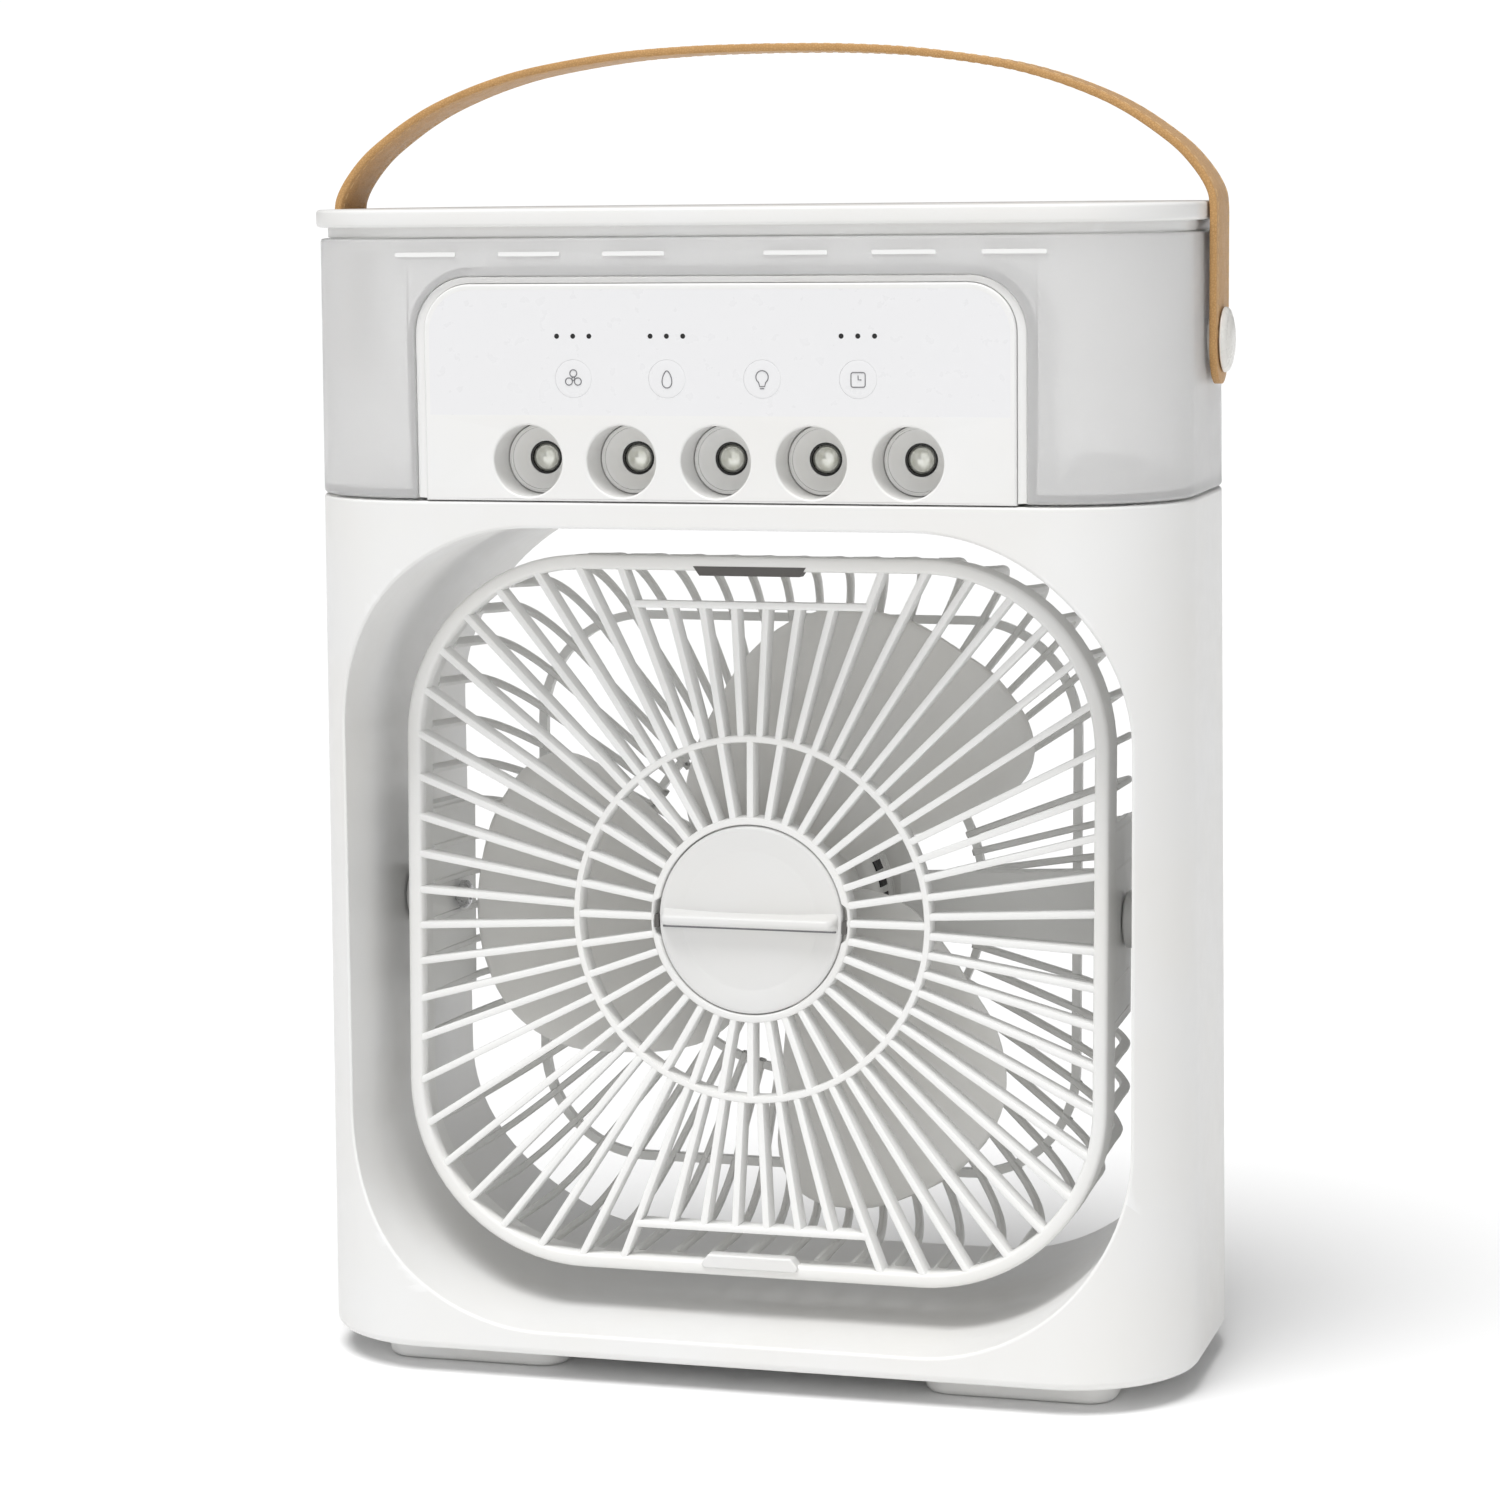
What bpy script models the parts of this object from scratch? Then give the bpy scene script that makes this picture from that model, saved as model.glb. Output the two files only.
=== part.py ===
"""Desk box fan with a mist tank: rounded-square fan head in a tunnel body, tank, lid and strap handle.

Metres, +Z up, front towards -Y, origin at the middle of the footprint on the ground.
"""
import math

import bmesh
import bpy
from mathutils import Matrix, Vector

MM = 0.001
GAP = 0.3 * MM

# Body
HALF_W = 110.0 * MM  # half width at the bottom edge
TAPER = 1.65 * MM  # lost from the half width between the bottom edge and the tank seam
FRONT = -51.9 * MM
BACK = 51.9 * MM
R_FRONT, R_BACK = 31.5 * MM, 39.6 * MM
BODY_Z0, BODY_Z1 = 6.0 * MM, 215.2 * MM
WALL = 2.4 * MM
TUNNEL_HALF, TUNNEL_Z0, TUNNEL_Z1, TUNNEL_R = 97.6 * MM, 12.2 * MM, 208.9 * MM, 50.9 * MM
TUNNEL_DRAFT = 1.0 * MM
TUNNEL_WALL = 2.2 * MM

# Tank, console and lid
TANK_Z0, TANK_Z1 = 215.8 * MM, 277.5 * MM
CONSOLE_HALF, CONSOLE_Z0, CONSOLE_Z1, CONSOLE_R = 72.1 * MM, 215.5 * MM, 266.8 * MM, 11.5 * MM
CONSOLE_BACK = -29.0 * MM
BAY_HALF, BAY_Z1, BAY_BACK, BAY_R = 74.5 * MM, 268.6 * MM, -27.0 * MM, 13.6 * MM
NOZZLE_Z, NOZZLE_PITCH, NOZZLE_R = 225.0 * MM, 23.2 * MM, 8.5 * MM
BUTTON_X = (-34.7 * MM, -11.6 * MM, 11.6 * MM, 34.7 * MM)
BUTTON_NAMES = ("button_fan", "button_mist", "button_light", "button_timer")
BUTTON_Z, BUTTON_R = 244.5 * MM, 4.5 * MM
LED_X = (-34.7 * MM, -11.6 * MM, 34.7 * MM)
LED_Z, LED_PITCH = 254.5 * MM, 4.0 * MM
LID_Z0, LID_Z1 = 280.2 * MM, 284.5 * MM

# Fan head
HEAD_Z = 110.8 * MM
HEAD_LEAN = math.radians(2.0)  # the head leans back this much at rest
HEAD_HALF, HEAD_R = 88.6 * MM, 45.7 * MM
GRILLE_FRONT, GRILLE_BACK = -27.0 * MM, -23.0 * MM
RING_W, SPOKE_W = 3.7 * MM, 1.8 * MM
OUTER_SPOKES, INNER_SPOKES = 60, 36
MID_RING = (43.5 * MM, 45.3 * MM)
HUB_RING = (23.6 * MM, 25.2 * MM)
BAR_Z, BAR_W = 76.8 * MM, 1.7 * MM
CAGE_RIBS, RIB_W, RIB_DEPTH = 60, 1.5 * MM, 2.2 * MM

# Handle
STRAP_W, STRAP_T = 18.0 * MM, 1.8 * MM
RIVET_Z = 251.7 * MM


def clear_scene():
    for obj in list(bpy.data.objects):
        bpy.data.objects.remove(obj, do_unlink=True)
    for coll in list(bpy.data.collections):
        bpy.data.collections.remove(coll)


clear_scene()
PARTS = bpy.data.collections.new("box_fan")
TOOLS = bpy.data.collections.new("cutters")
for coll in (PARTS, TOOLS):
    bpy.context.scene.collection.children.link(coll)
TOOLS.hide_render = True


def material(name, rgb, rough=0.45, metal=0.0, clear=0.0):
    mat = bpy.data.materials.new(name)
    mat.use_nodes = True
    shader = mat.node_tree.nodes["Principled BSDF"]
    shader.inputs["Base Color"].default_value = (*rgb, 1.0)
    shader.inputs["Roughness"].default_value = rough
    shader.inputs["Metallic"].default_value = metal
    shader.inputs["Transmission Weight"].default_value = clear
    mat.diffuse_color = (*rgb, 1.0)
    return mat


WHITE = (0.86, 0.86, 0.87)
GREY = (0.62, 0.62, 0.60)
DARK = (0.03, 0.03, 0.035)
STEEL = (0.60, 0.60, 0.62)


def add_mesh(name, verts, faces, mat=None, tool=False):
    """A closed mesh object with its normals pointing out."""
    mesh = bpy.data.meshes.new(name)
    bm = bmesh.new()
    points = [bm.verts.new(v) for v in verts]
    for face in faces:
        bm.faces.new([points[i] for i in face])
    bmesh.ops.recalc_face_normals(bm, faces=bm.faces)
    bm.to_mesh(mesh)
    bm.free()
    obj = bpy.data.objects.new(name, mesh)
    if tool:
        TOOLS.objects.link(obj)
        obj.hide_render = True
        obj.display_type = "WIRE"
    else:
        PARTS.objects.link(obj)
        mesh.materials.append(mat)
    return obj


def loft(sections):
    """Vertices and faces of a solid through equal-length outlines of 3-D points."""
    count = len(sections[0])
    verts = [p for section in sections for p in section]
    faces = [list(range(count))[::-1], [len(verts) - count + i for i in range(count)]]
    for s in range(len(sections) - 1):
        a, b = s * count, (s + 1) * count
        for i in range(count):
            j = (i + 1) % count
            faces.append([a + i, a + j, b + j, b + i])
    return verts, faces


def merged(*solids):
    """Several vertex-and-face lists as one."""
    verts, faces = [], []
    for v, f in solids:
        start = len(verts)
        verts += v
        faces += [[start + i for i in face] for face in f]
    return verts, faces


def arc(cx, cy, r, a0, a1, n):
    step = math.radians(a1 - a0) / n
    a0 = math.radians(a0)
    return [(cx + r * math.cos(a0 + step * i), cy + r * math.sin(a0 + step * i)) for i in range(n + 1)]


def plan(inset=0.0, half=HALF_W, n=8):
    """The body's rounded outline seen from above, counter-clockwise."""
    hw, rf, rb = half - inset, R_FRONT - inset, R_BACK - inset
    y0, y1 = FRONT + inset, BACK - inset
    return (
        arc(hw - rf, y0 + rf, rf, -90, 0, n)
        + arc(hw - rb, y1 - rb, rb, 0, 90, n)
        + arc(rb - hw, y1 - rb, rb, 90, 180, n)
        + arc(rf - hw, y0 + rf, rf, 180, 270, n)
    )


def half_at(z):
    return HALF_W - TAPER * (z - BODY_Z0) / (BODY_Z1 - BODY_Z0)


def body_loft(inset, *heights, n=8):
    return loft([[(x, y, z) for x, y in plan(inset, half_at(z), n)] for z in heights])


def round_rect(x0, z0, x1, z1, radii, n=6):
    """Rounded rectangle, radii given for the corners bottom-left, bottom-right, top-right, top-left."""
    corners = ((x0, z0, 1, 1, 180), (x1, z0, -1, 1, 270), (x1, z1, -1, -1, 0), (x0, z1, 1, -1, 90))
    points = []
    for (x, z, sx, sz, a0), r in zip(corners, radii):
        if r:
            points += arc(x + sx * r, z + sz * r, r, a0, a0 + 90, n)
        else:
            points.append((x, z))
    return points


def prism_y(outline, y0, y1):
    return loft([[(x, y, z) for x, z in outline] for y in (y0, y1)])


def prism_z(outline, z0, z1):
    return loft([[(x, y, z) for x, y in outline] for z in (z0, z1)])


def box(x0, x1, y0, y1, z0, z1):
    return prism_z([(x0, y0), (x1, y0), (x1, y1), (x0, y1)], z0, z1)


def turned(profile, axis, centre, steps=24, phase=0.5):
    """A solid of revolution. The profile holds (radius, distance along the axis)."""
    verts, rings = [], []
    for r, h in profile:
        if r == 0:
            rings.append([len(verts)])
            verts.append((0.0, 0.0, h))
            continue
        rings.append(list(range(len(verts), len(verts) + steps)))
        for i in range(steps):
            a = 2 * math.pi * (i + phase) / steps
            verts.append((r * math.cos(a), r * math.sin(a), h))
    faces = []
    for a, b in zip(rings, rings[1:]):
        for i in range(steps):
            j = (i + 1) % steps
            quad = [a[i % len(a)], a[j % len(a)], b[j % len(b)], b[i % len(b)]]
            faces.append(list(dict.fromkeys(quad)))
    if len(rings[0]) > 1 and len(rings[-1]) > 1:
        for i in range(steps):
            j = (i + 1) % steps
            faces.append([rings[-1][i], rings[-1][j], rings[0][j], rings[0][i]])
    turn = Vector((0, 0, 1)).rotation_difference(Vector(axis)).to_matrix()
    return [tuple(turn @ Vector(v) + Vector(centre)) for v in verts], faces


def add(name, solid, mat=None, tool=False):
    return add_mesh(name, solid[0], solid[1], mat, tool)


def boolean(obj, other, operation):
    mod = obj.modifiers.new(operation.lower() + "_" + other.name, "BOOLEAN")
    mod.operation = operation
    mod.solver = "EXACT"
    mod.object = other
    return obj


def cut(obj, solid, name):
    return boolean(obj, add(name, solid, tool=True), "DIFFERENCE")


def fuse(obj, solid, name):
    return boolean(obj, add(name, solid, tool=True), "UNION")


def set_origin(obj, point):
    """Moves the object's origin to the point and leaves its mesh where it is."""
    obj.data.transform(Matrix.Translation(-Vector(point)))
    obj.location = point
    return obj


def flat_plate(name, outlines, y0, y1, mat):
    """A plate facing -Y, filled between its outer outline and its holes by a 2-D curve."""
    data = bpy.data.curves.new(name + "_outline", "CURVE")
    data.dimensions = "2D"
    data.fill_mode = "BOTH"
    data.extrude = (y1 - y0) / 2
    for outline in outlines:
        spline = data.splines.new("POLY")
        spline.points.add(len(outline) - 1)
        for point, (x, z) in zip(spline.points, outline):
            point.co = (x, z, 0, 1)
        spline.use_cyclic_u = True
    guide = bpy.data.objects.new(name + "_outline", data)
    TOOLS.objects.link(guide)
    graph = bpy.context.evaluated_depsgraph_get()
    mesh = bpy.data.meshes.new_from_object(guide.evaluated_get(graph))
    mesh.transform(Matrix.Translation((0, (y0 + y1) / 2, 0)) @ Matrix.Rotation(math.pi / 2, 4, "X"))
    bpy.data.objects.remove(guide)
    bm = bmesh.new()
    bm.from_mesh(mesh)
    bmesh.ops.remove_doubles(bm, verts=bm.verts, dist=1e-6)
    bmesh.ops.recalc_face_normals(bm, faces=bm.faces)
    bm.to_mesh(mesh)
    bm.free()
    mesh.name = name
    mesh.materials.clear()
    mesh.materials.append(mat)
    obj = bpy.data.objects.new(name, mesh)
    PARTS.objects.link(obj)
    return obj


def polar(r, degrees, cz=0.0):
    a = math.radians(degrees)
    return r * math.cos(a), cz + r * math.sin(a)


def square_reach(degrees, half, r, side=0.0):
    """Distance from the centre to a rounded square along a ray moved sideways, as (x, z)."""
    a = math.radians(degrees)
    dx, dz = math.cos(a), math.sin(a)
    ox, oz = -dz * side, dx * side
    low, high = 0.0, 2 * half
    for _ in range(50):
        mid = (low + high) / 2
        px, pz = abs(ox + dx * mid) - (half - r), abs(oz + dz * mid) - (half - r)
        outside = math.hypot(max(px, 0), max(pz, 0)) + min(max(px, pz), 0) - r
        low, high = (mid, high) if outside < 0 else (low, mid)
    return ox + dx * low, oz + dz * low


def circle_reach(degrees, r, side=0.0):
    a = math.radians(degrees)
    along = math.sqrt(r * r - side * side)
    return math.cos(a) * along - math.sin(a) * side, math.sin(a) * along + math.cos(a) * side


# ---------------------------------------------------------------- body
def build_body():
    plastic = material("shell_abs", WHITE, 0.42)
    body = add("body_shell", body_loft(0.0, BODY_Z0, BODY_Z1), plastic)
    cavity = add("body_cavity", body_loft(WALL, -0.01, 0.23), tool=True)
    wall = round_rect(
        -TUNNEL_HALF - TUNNEL_WALL, TUNNEL_Z0 - TUNNEL_WALL, TUNNEL_HALF + TUNNEL_WALL,
        TUNNEL_Z1 + TUNNEL_WALL, [TUNNEL_R + TUNNEL_WALL] * 4, 9,
    )
    cut(cavity, prism_y(wall, -0.06, 0.06), "tunnel_wall")
    boolean(body, cavity, "DIFFERENCE")
    sections = []
    for y in (-0.06, 0.06):
        d = TUNNEL_DRAFT * (y - FRONT) / (BACK - FRONT)
        outline = round_rect(
            -TUNNEL_HALF + d, TUNNEL_Z0 + d, TUNNEL_HALF - d, TUNNEL_Z1 - d, [TUNNEL_R - d] * 4, 9
        )
        sections.append([(x, y, z) for x, z in outline])
    cut(body, loft(sections), "tunnel")
    bores = merged(
        turned([(0, -0.104), (4.3 * MM, -0.104), (4.3 * MM, -0.092), (0, -0.092)], (1, 0, 0),
               (0, 0, HEAD_Z)),
        turned([(0, 0.092), (4.3 * MM, 0.092), (4.3 * MM, 0.104), (0, 0.104)], (1, 0, 0), (0, 0, HEAD_Z)),
        prism_y(round_rect(64.9 * MM, 8.8 * MM, 75.1 * MM, 12.8 * MM, [1.7 * MM] * 4, 3), 0.040, 0.056),
    )
    cut(body, bores, "body_bores")

    add("base_plate", body_loft(WALL + GAP, BODY_Z0, BODY_Z0 + 2.0 * MM), material("base_abs", WHITE, 0.5))
    deck = material("deck_abs", WHITE, 0.5)
    add("top_deck", body_loft(WALL + GAP, 212.8 * MM, 215.0 * MM), deck)

    rubber = material("foot_pad", (0.80, 0.80, 0.80), 0.6)
    for name, sx, sy in (
        ("foot_front_left", -1, -1), ("foot_front_right", 1, -1),
        ("foot_rear_left", -1, 1), ("foot_rear_right", 1, 1)
    ):
        cx, cy = sx * 69.0 * MM, sy * 29.0 * MM
        sections = []
        for z, d in ((0.0, 1.2 * MM), (1.2 * MM, 0.0), (BODY_Z0 - GAP, 0.0)):
            outline = round_rect(
                cx - 23.5 * MM + d, cy - 12.0 * MM + d, cx + 23.5 * MM - d, cy + 12.0 * MM - d,
                [7 * MM - d] * 4, 3
            )
            sections.append([(x, y, z) for x, y in outline])
        add(name, loft(sections), rubber)

    port = add("power_inlet", prism_y(
        round_rect(65.2 * MM, 9.1 * MM, 74.8 * MM, 12.5 * MM, [1.5 * MM] * 4, 3), 43.5 * MM, 51.6 * MM),
        material("inlet_steel", STEEL, 0.35, 1.0))
    cut(port, prism_y(round_rect(65.9 * MM, 9.8 * MM, 74.1 * MM, 11.8 * MM, [0.9 * MM] * 4, 3),
                      45.5 * MM, 55 * MM), "inlet_socket")


# ------------------------------------------------------------- console
def nozzle_xs():
    return [NOZZLE_PITCH * (i - 2) for i in range(5)]


def build_console():
    plastic = material("console_abs", WHITE, 0.42)
    outline = round_rect(
        -CONSOLE_HALF, CONSOLE_Z0, CONSOLE_HALF, CONSOLE_Z1, [0, 0, CONSOLE_R, CONSOLE_R]
    )
    console = add("console", prism_y(outline, FRONT, CONSOLE_BACK), plastic)
    w = 2.2 * MM
    hollow = round_rect(
        -CONSOLE_HALF + w, CONSOLE_Z0 + w, CONSOLE_HALF - w, CONSOLE_Z1 - w,
        [0, 0, CONSOLE_R - w, CONSOLE_R - w],
    )
    cut(console, prism_y(hollow, FRONT + WALL, 0.0), "console_hollow")
    tubes = [
        turned([(0, 1.5 * MM), (9.7 * MM, 1.5 * MM), (9.7 * MM, 15.4 * MM), (0, 15.4 * MM)], (0, 1, 0),
               (x, FRONT, NOZZLE_Z), 16)
        for x in nozzle_xs()
    ]
    fuse(console, merged(*tubes), "nozzle_tubes")
    holes = [
        turned([(0, -2 * MM), (NOZZLE_R, -2 * MM), (NOZZLE_R, 17 * MM), (0, 17 * MM)], (0, 1, 0),
               (x, FRONT, NOZZLE_Z), 24)
        for x in nozzle_xs()
    ]
    holes.append(prism_y(overlay_outline(0.0), FRONT - 2 * MM, FRONT + 1.4 * MM))
    for x in BUTTON_X:
        holes.append(turned([(0, 1.0 * MM), (BUTTON_R + GAP, 1.0 * MM), (BUTTON_R + GAP, 3 * MM),
                             (0, 3 * MM)],
                            (0, 1, 0), (x, FRONT, BUTTON_Z), 16))
    for x in LED_X:
        holes.append(box(x - 5.6 * MM, x + 5.6 * MM, FRONT + 1.0 * MM, FRONT + 3 * MM,
                         LED_Z - 1.1 * MM, LED_Z + 1.1 * MM))
    for i, hole in enumerate(holes):
        cut(console, hole, f"console_hole_{i}")

    circles = [[(x + (BUTTON_R + GAP) * math.cos(math.radians(a)), BUTTON_Z + (BUTTON_R + GAP)
                 * math.sin(math.radians(a))) for a in range(0, 360, 20)] for x in BUTTON_X]
    for x in LED_X:
        for k in (-1, 0, 1):
            circles.append([(x + k * LED_PITCH + 0.75 * MM * math.cos(math.radians(a)), LED_Z + 0.75 * MM
                             * math.sin(math.radians(a))) for a in range(0, 360, 60)])
    flat_plate("panel_overlay", [overlay_outline(GAP)] + circles, FRONT + 0.1 * MM, FRONT + 1.1 * MM,
               material("overlay_film", (0.88, 0.88, 0.90), 0.3))

    for name, x in zip(BUTTON_NAMES, BUTTON_X):
        profile = [(0, 0.1 * MM), (BUTTON_R - 0.4 * MM, 0.1 * MM), (BUTTON_R, 0.4 * MM), (BUTTON_R,
                                                                                          2.7 * MM),
                   (5.3 * MM, 2.7 * MM), (5.3 * MM, 3.5 * MM), (0, 3.5 * MM)]
        button = add(name, turned(profile, (0, 1, 0), (x, FRONT, BUTTON_Z), 16),
                     material(name + "_cap", (0.88, 0.88, 0.90), 0.3))
        set_origin(button, (x, FRONT, BUTTON_Z))

    board = add("control_pcb", box(-62 * MM, 62 * MM, FRONT + 4.8 * MM, FRONT + 6.4 * MM, 238 * MM,
                                   263 * MM),
                material("pcb", (0.05, 0.22, 0.12), 0.5))
    posts = [box(x + k * LED_PITCH - 0.4 * MM, x + k * LED_PITCH + 0.4 * MM, FRONT + 0.3 * MM,
                 FRONT + 5.2 * MM,
                 LED_Z - 0.4 * MM, LED_Z + 0.4 * MM) for x in LED_X for k in (-1, 0, 1)]
    fuse(board, merged(*posts), "led_posts")

    for i, x in enumerate(nozzle_xs(), 1):
        cup = [(8.2 * MM, 10.8 * MM), (8.2 * MM, 15.2 * MM), (4.4 * MM, 15.2 * MM), (4.4 * MM, 13.8 * MM),
               (7.4 * MM, 11.2 * MM), (7.5 * MM, 10.8 * MM)]
        add(f"nozzle_{i}", turned(cup, (0, 1, 0), (x, FRONT, NOZZLE_Z), 20),
            material(f"nozzle_{i}_abs", WHITE, 0.35))
        disc = [(0, 13.6 * MM), (2.9 * MM, 13.9 * MM), (4.1 * MM, 13.7 * MM), (4.1 * MM,
                                                                               16.6 * MM), (0, 16.6 * MM)]
        add(f"mister_{i}", turned(disc, (0, 1, 0), (x, FRONT, NOZZLE_Z), 16),
            material(f"mister_{i}_ring", (0.10, 0.10, 0.09), 0.25))
    manifold = box(-56 * MM, 56 * MM, FRONT + 16.9 * MM, FRONT + 21.5 * MM, 219 * MM, 231 * MM)
    add("mist_manifold", manifold,
        material("manifold_abs", (0.75, 0.75, 0.76), 0.5))


def overlay_outline(inset):
    r = 9.9 * MM
    return round_rect(-70.4 * MM + inset, 236.2 * MM + inset, 70.4 * MM - inset,
                      265.1 * MM - inset, [0, 0, r, r], 5)


# ---------------------------------------------------------------- tank
def build_tank():
    tank = add("water_tank", body_loft(0.0, TANK_Z0, TANK_Z1),
               material("tank_clear", (0.80, 0.81, 0.82), 0.3, 0, 0.5))
    inside = add("tank_inside", body_loft(2.0 * MM, TANK_Z0 + 2.0 * MM, 0.30), tool=True)
    skin = 2.0 * MM
    bay_wall = round_rect(-BAY_HALF - skin, 0.205, BAY_HALF + skin, BAY_Z1 + skin,
                          [0, 0, BAY_R + skin, BAY_R + skin])
    cut(inside, prism_y(bay_wall, -0.07, BAY_BACK + skin), "bay_wall")
    boolean(tank, inside, "DIFFERENCE")
    bay = round_rect(-BAY_HALF, 0.205, BAY_HALF, BAY_Z1, [0, 0, BAY_R, BAY_R])
    cut(tank, prism_y(bay, -0.07, BAY_BACK), "bay")
    tabs = []
    for x0 in (-78.8 * MM, -52.8 * MM, -27.0 * MM, 12.4 * MM, 38.2 * MM, 64.2 * MM):
        tabs.append(box(x0, x0 + 15.2 * MM, FRONT - 0.35 * MM, FRONT + 0.6 * MM, 273.3 * MM, 274.3 * MM))
    fuse(tank, merged(*tabs), "rim_tabs")

    valve = round_rect(80.5 * MM, -35 * MM, 95.5 * MM, -21 * MM, [3 * MM] * 4, 3)
    sections = [[(x, y, z) for x, y in valve] for z in (TANK_Z0 + 2.3 * MM, 225.6 * MM)]
    add("tank_valve", loft(sections), material("valve_grey", (0.45, 0.45, 0.46), 0.5))

    lid = add("lid", lid_loft(0.8 * MM, 1.0 * MM, LID_Z0, LID_Z1), material("lid_abs", WHITE, 0.4))
    fuse(lid, lid_loft(-1.0 * MM, -1.0 * MM, TANK_Z1 + GAP, LID_Z0 + 1 * MM), "lid_step")
    fuse(lid, body_loft(2.4 * MM, 272.0 * MM, LID_Z0 + 1 * MM, n=5), "lid_skirt")
    cut(lid, body_loft(4.0 * MM, 0.265, LID_Z1 - 2.6 * MM, n=5), "lid_hollow")
    cut(lid, box(-55.3 * MM, 55.3 * MM, -46.3 * MM, -17.7 * MM, LID_Z1 - 1.5 * MM, 0.3), "flap_pocket")
    cut(lid, box(-52 * MM, 52 * MM, -43 * MM, -22 * MM, 0.275, 0.3), "fill_opening")
    flap = add("fill_flap", box(-55 * MM, 55 * MM, -46 * MM, -18 * MM, LID_Z1 - 1.2 * MM, LID_Z1),
               material("flap_abs", WHITE, 0.4))
    set_origin(flap, (0, -18 * MM, LID_Z1))


def lid_loft(side, ends, z0, z1):
    half = half_at(TANK_Z1) + side
    outline = [(x, y * (BACK + ends) / BACK) for x, y in plan(0.0, half)]
    return loft([[(x, y, z) for x, y in outline] for z in (z0, z1)])


# -------------------------------------------------------------- handle
def arch_point(t):
    """Centre line of the strap's arch, t from 0 on the +X leg to 1 at the apex."""
    knots = ((110.15, 283.5), (109.6, 286.6), (106.8, 291.6), (102.4, 296.9), (96.8, 301.4), (89.6, 306.2),
             (81.7, 310.2), (70.5, 314.4), (57.6, 317.7), (37.4, 320.8), (18.5, 322.1), (0.0, 322.4))
    k = t * (len(knots) - 1)
    return Vector(knots[int(k)]) * MM


def build_handle():
    centre = [Vector((110.15 * MM, RIVET_Z - 1.5 * MM))]
    centre += [arch_point(i / 11 + 1e-6) for i in range(12)]
    centre += [Vector((-p.x, p.y)) for p in centre[-2::-1]]
    outer, inner = [], []
    for i, p in enumerate(centre):
        a, b = centre[max(i - 1, 0)], centre[min(i + 1, len(centre) - 1)]
        along = (b - a).normalized()
        normal = Vector((along.y, -along.x)) * STRAP_T / 2
        outer.append(p + normal)
        inner.append(p - normal)
    w = STRAP_W / 2
    sections = []
    for o, i in zip(outer, inner):
        sections.append([(o.x, -w, o.y), (o.x, w, o.y), (i.x, w, i.y), (i.x, -w, i.y)])
    strap = add("handle_strap", loft(sections), material("leather", (0.52, 0.30, 0.14), 0.6))
    for i, s in enumerate((1, -1)):
        tip = turned([(0, -STRAP_T / 2), (w, -STRAP_T / 2), (w, STRAP_T / 2), (0, STRAP_T / 2)], (1, 0, 0),
                     (s * 110.15 * MM, 0, RIVET_Z - 1.5 * MM), 24, 0.0)
        fuse(strap, tip, f"strap_tip_{i}")
        hole = turned([(0, -0.01), (3.3 * MM, -0.01), (3.3 * MM, 0.01), (0, 0.01)], (1, 0, 0),
                      (s * 110.15 * MM, 0, RIVET_Z), 16, 0.0)
        cut(strap, hole, f"strap_hole_{i}")
    set_origin(strap, (0, 0, RIVET_Z))
    cap = [(0, 107.95 * MM + GAP), (6 * MM, 107.95 * MM + GAP), (6 * MM, 108.95 * MM), (3 * MM,
                                                                                        108.95 * MM),
           (3 * MM, 111.35 * MM), (7.8 * MM, 111.35 * MM), (7.8 * MM, 112.2 * MM), (6.6 * MM, 113.1 * MM),
           (4.2 * MM, 113.6 * MM), (0, 113.8 * MM)]
    for name, s in (("rivet_right", 1), ("rivet_left", -1)):
        profile = [(r, h) for r, h in cap]
        add(name, turned(profile, (s, 0, 0), (0, 0, RIVET_Z), 18),
            material(name + "_cap", (0.80, 0.79, 0.77), 0.35))


# ------------------------------------------------------------ fan head
def gap_hole(a0, a1, inner_r, outer):
    """One opening between the spokes at angles a0 and a1."""
    s = SPOKE_W / 2
    return [circle_reach(a0, inner_r, s), outer(a0, s), outer(a1, -s), circle_reach(a1, inner_r, -s)]


def bar_reach(degrees, side, z):
    a = math.radians(degrees)
    z = math.copysign(z, math.sin(a))
    along = (z - math.cos(a) * side) / math.sin(a)
    return math.cos(a) * along - math.sin(a) * side, z


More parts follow.
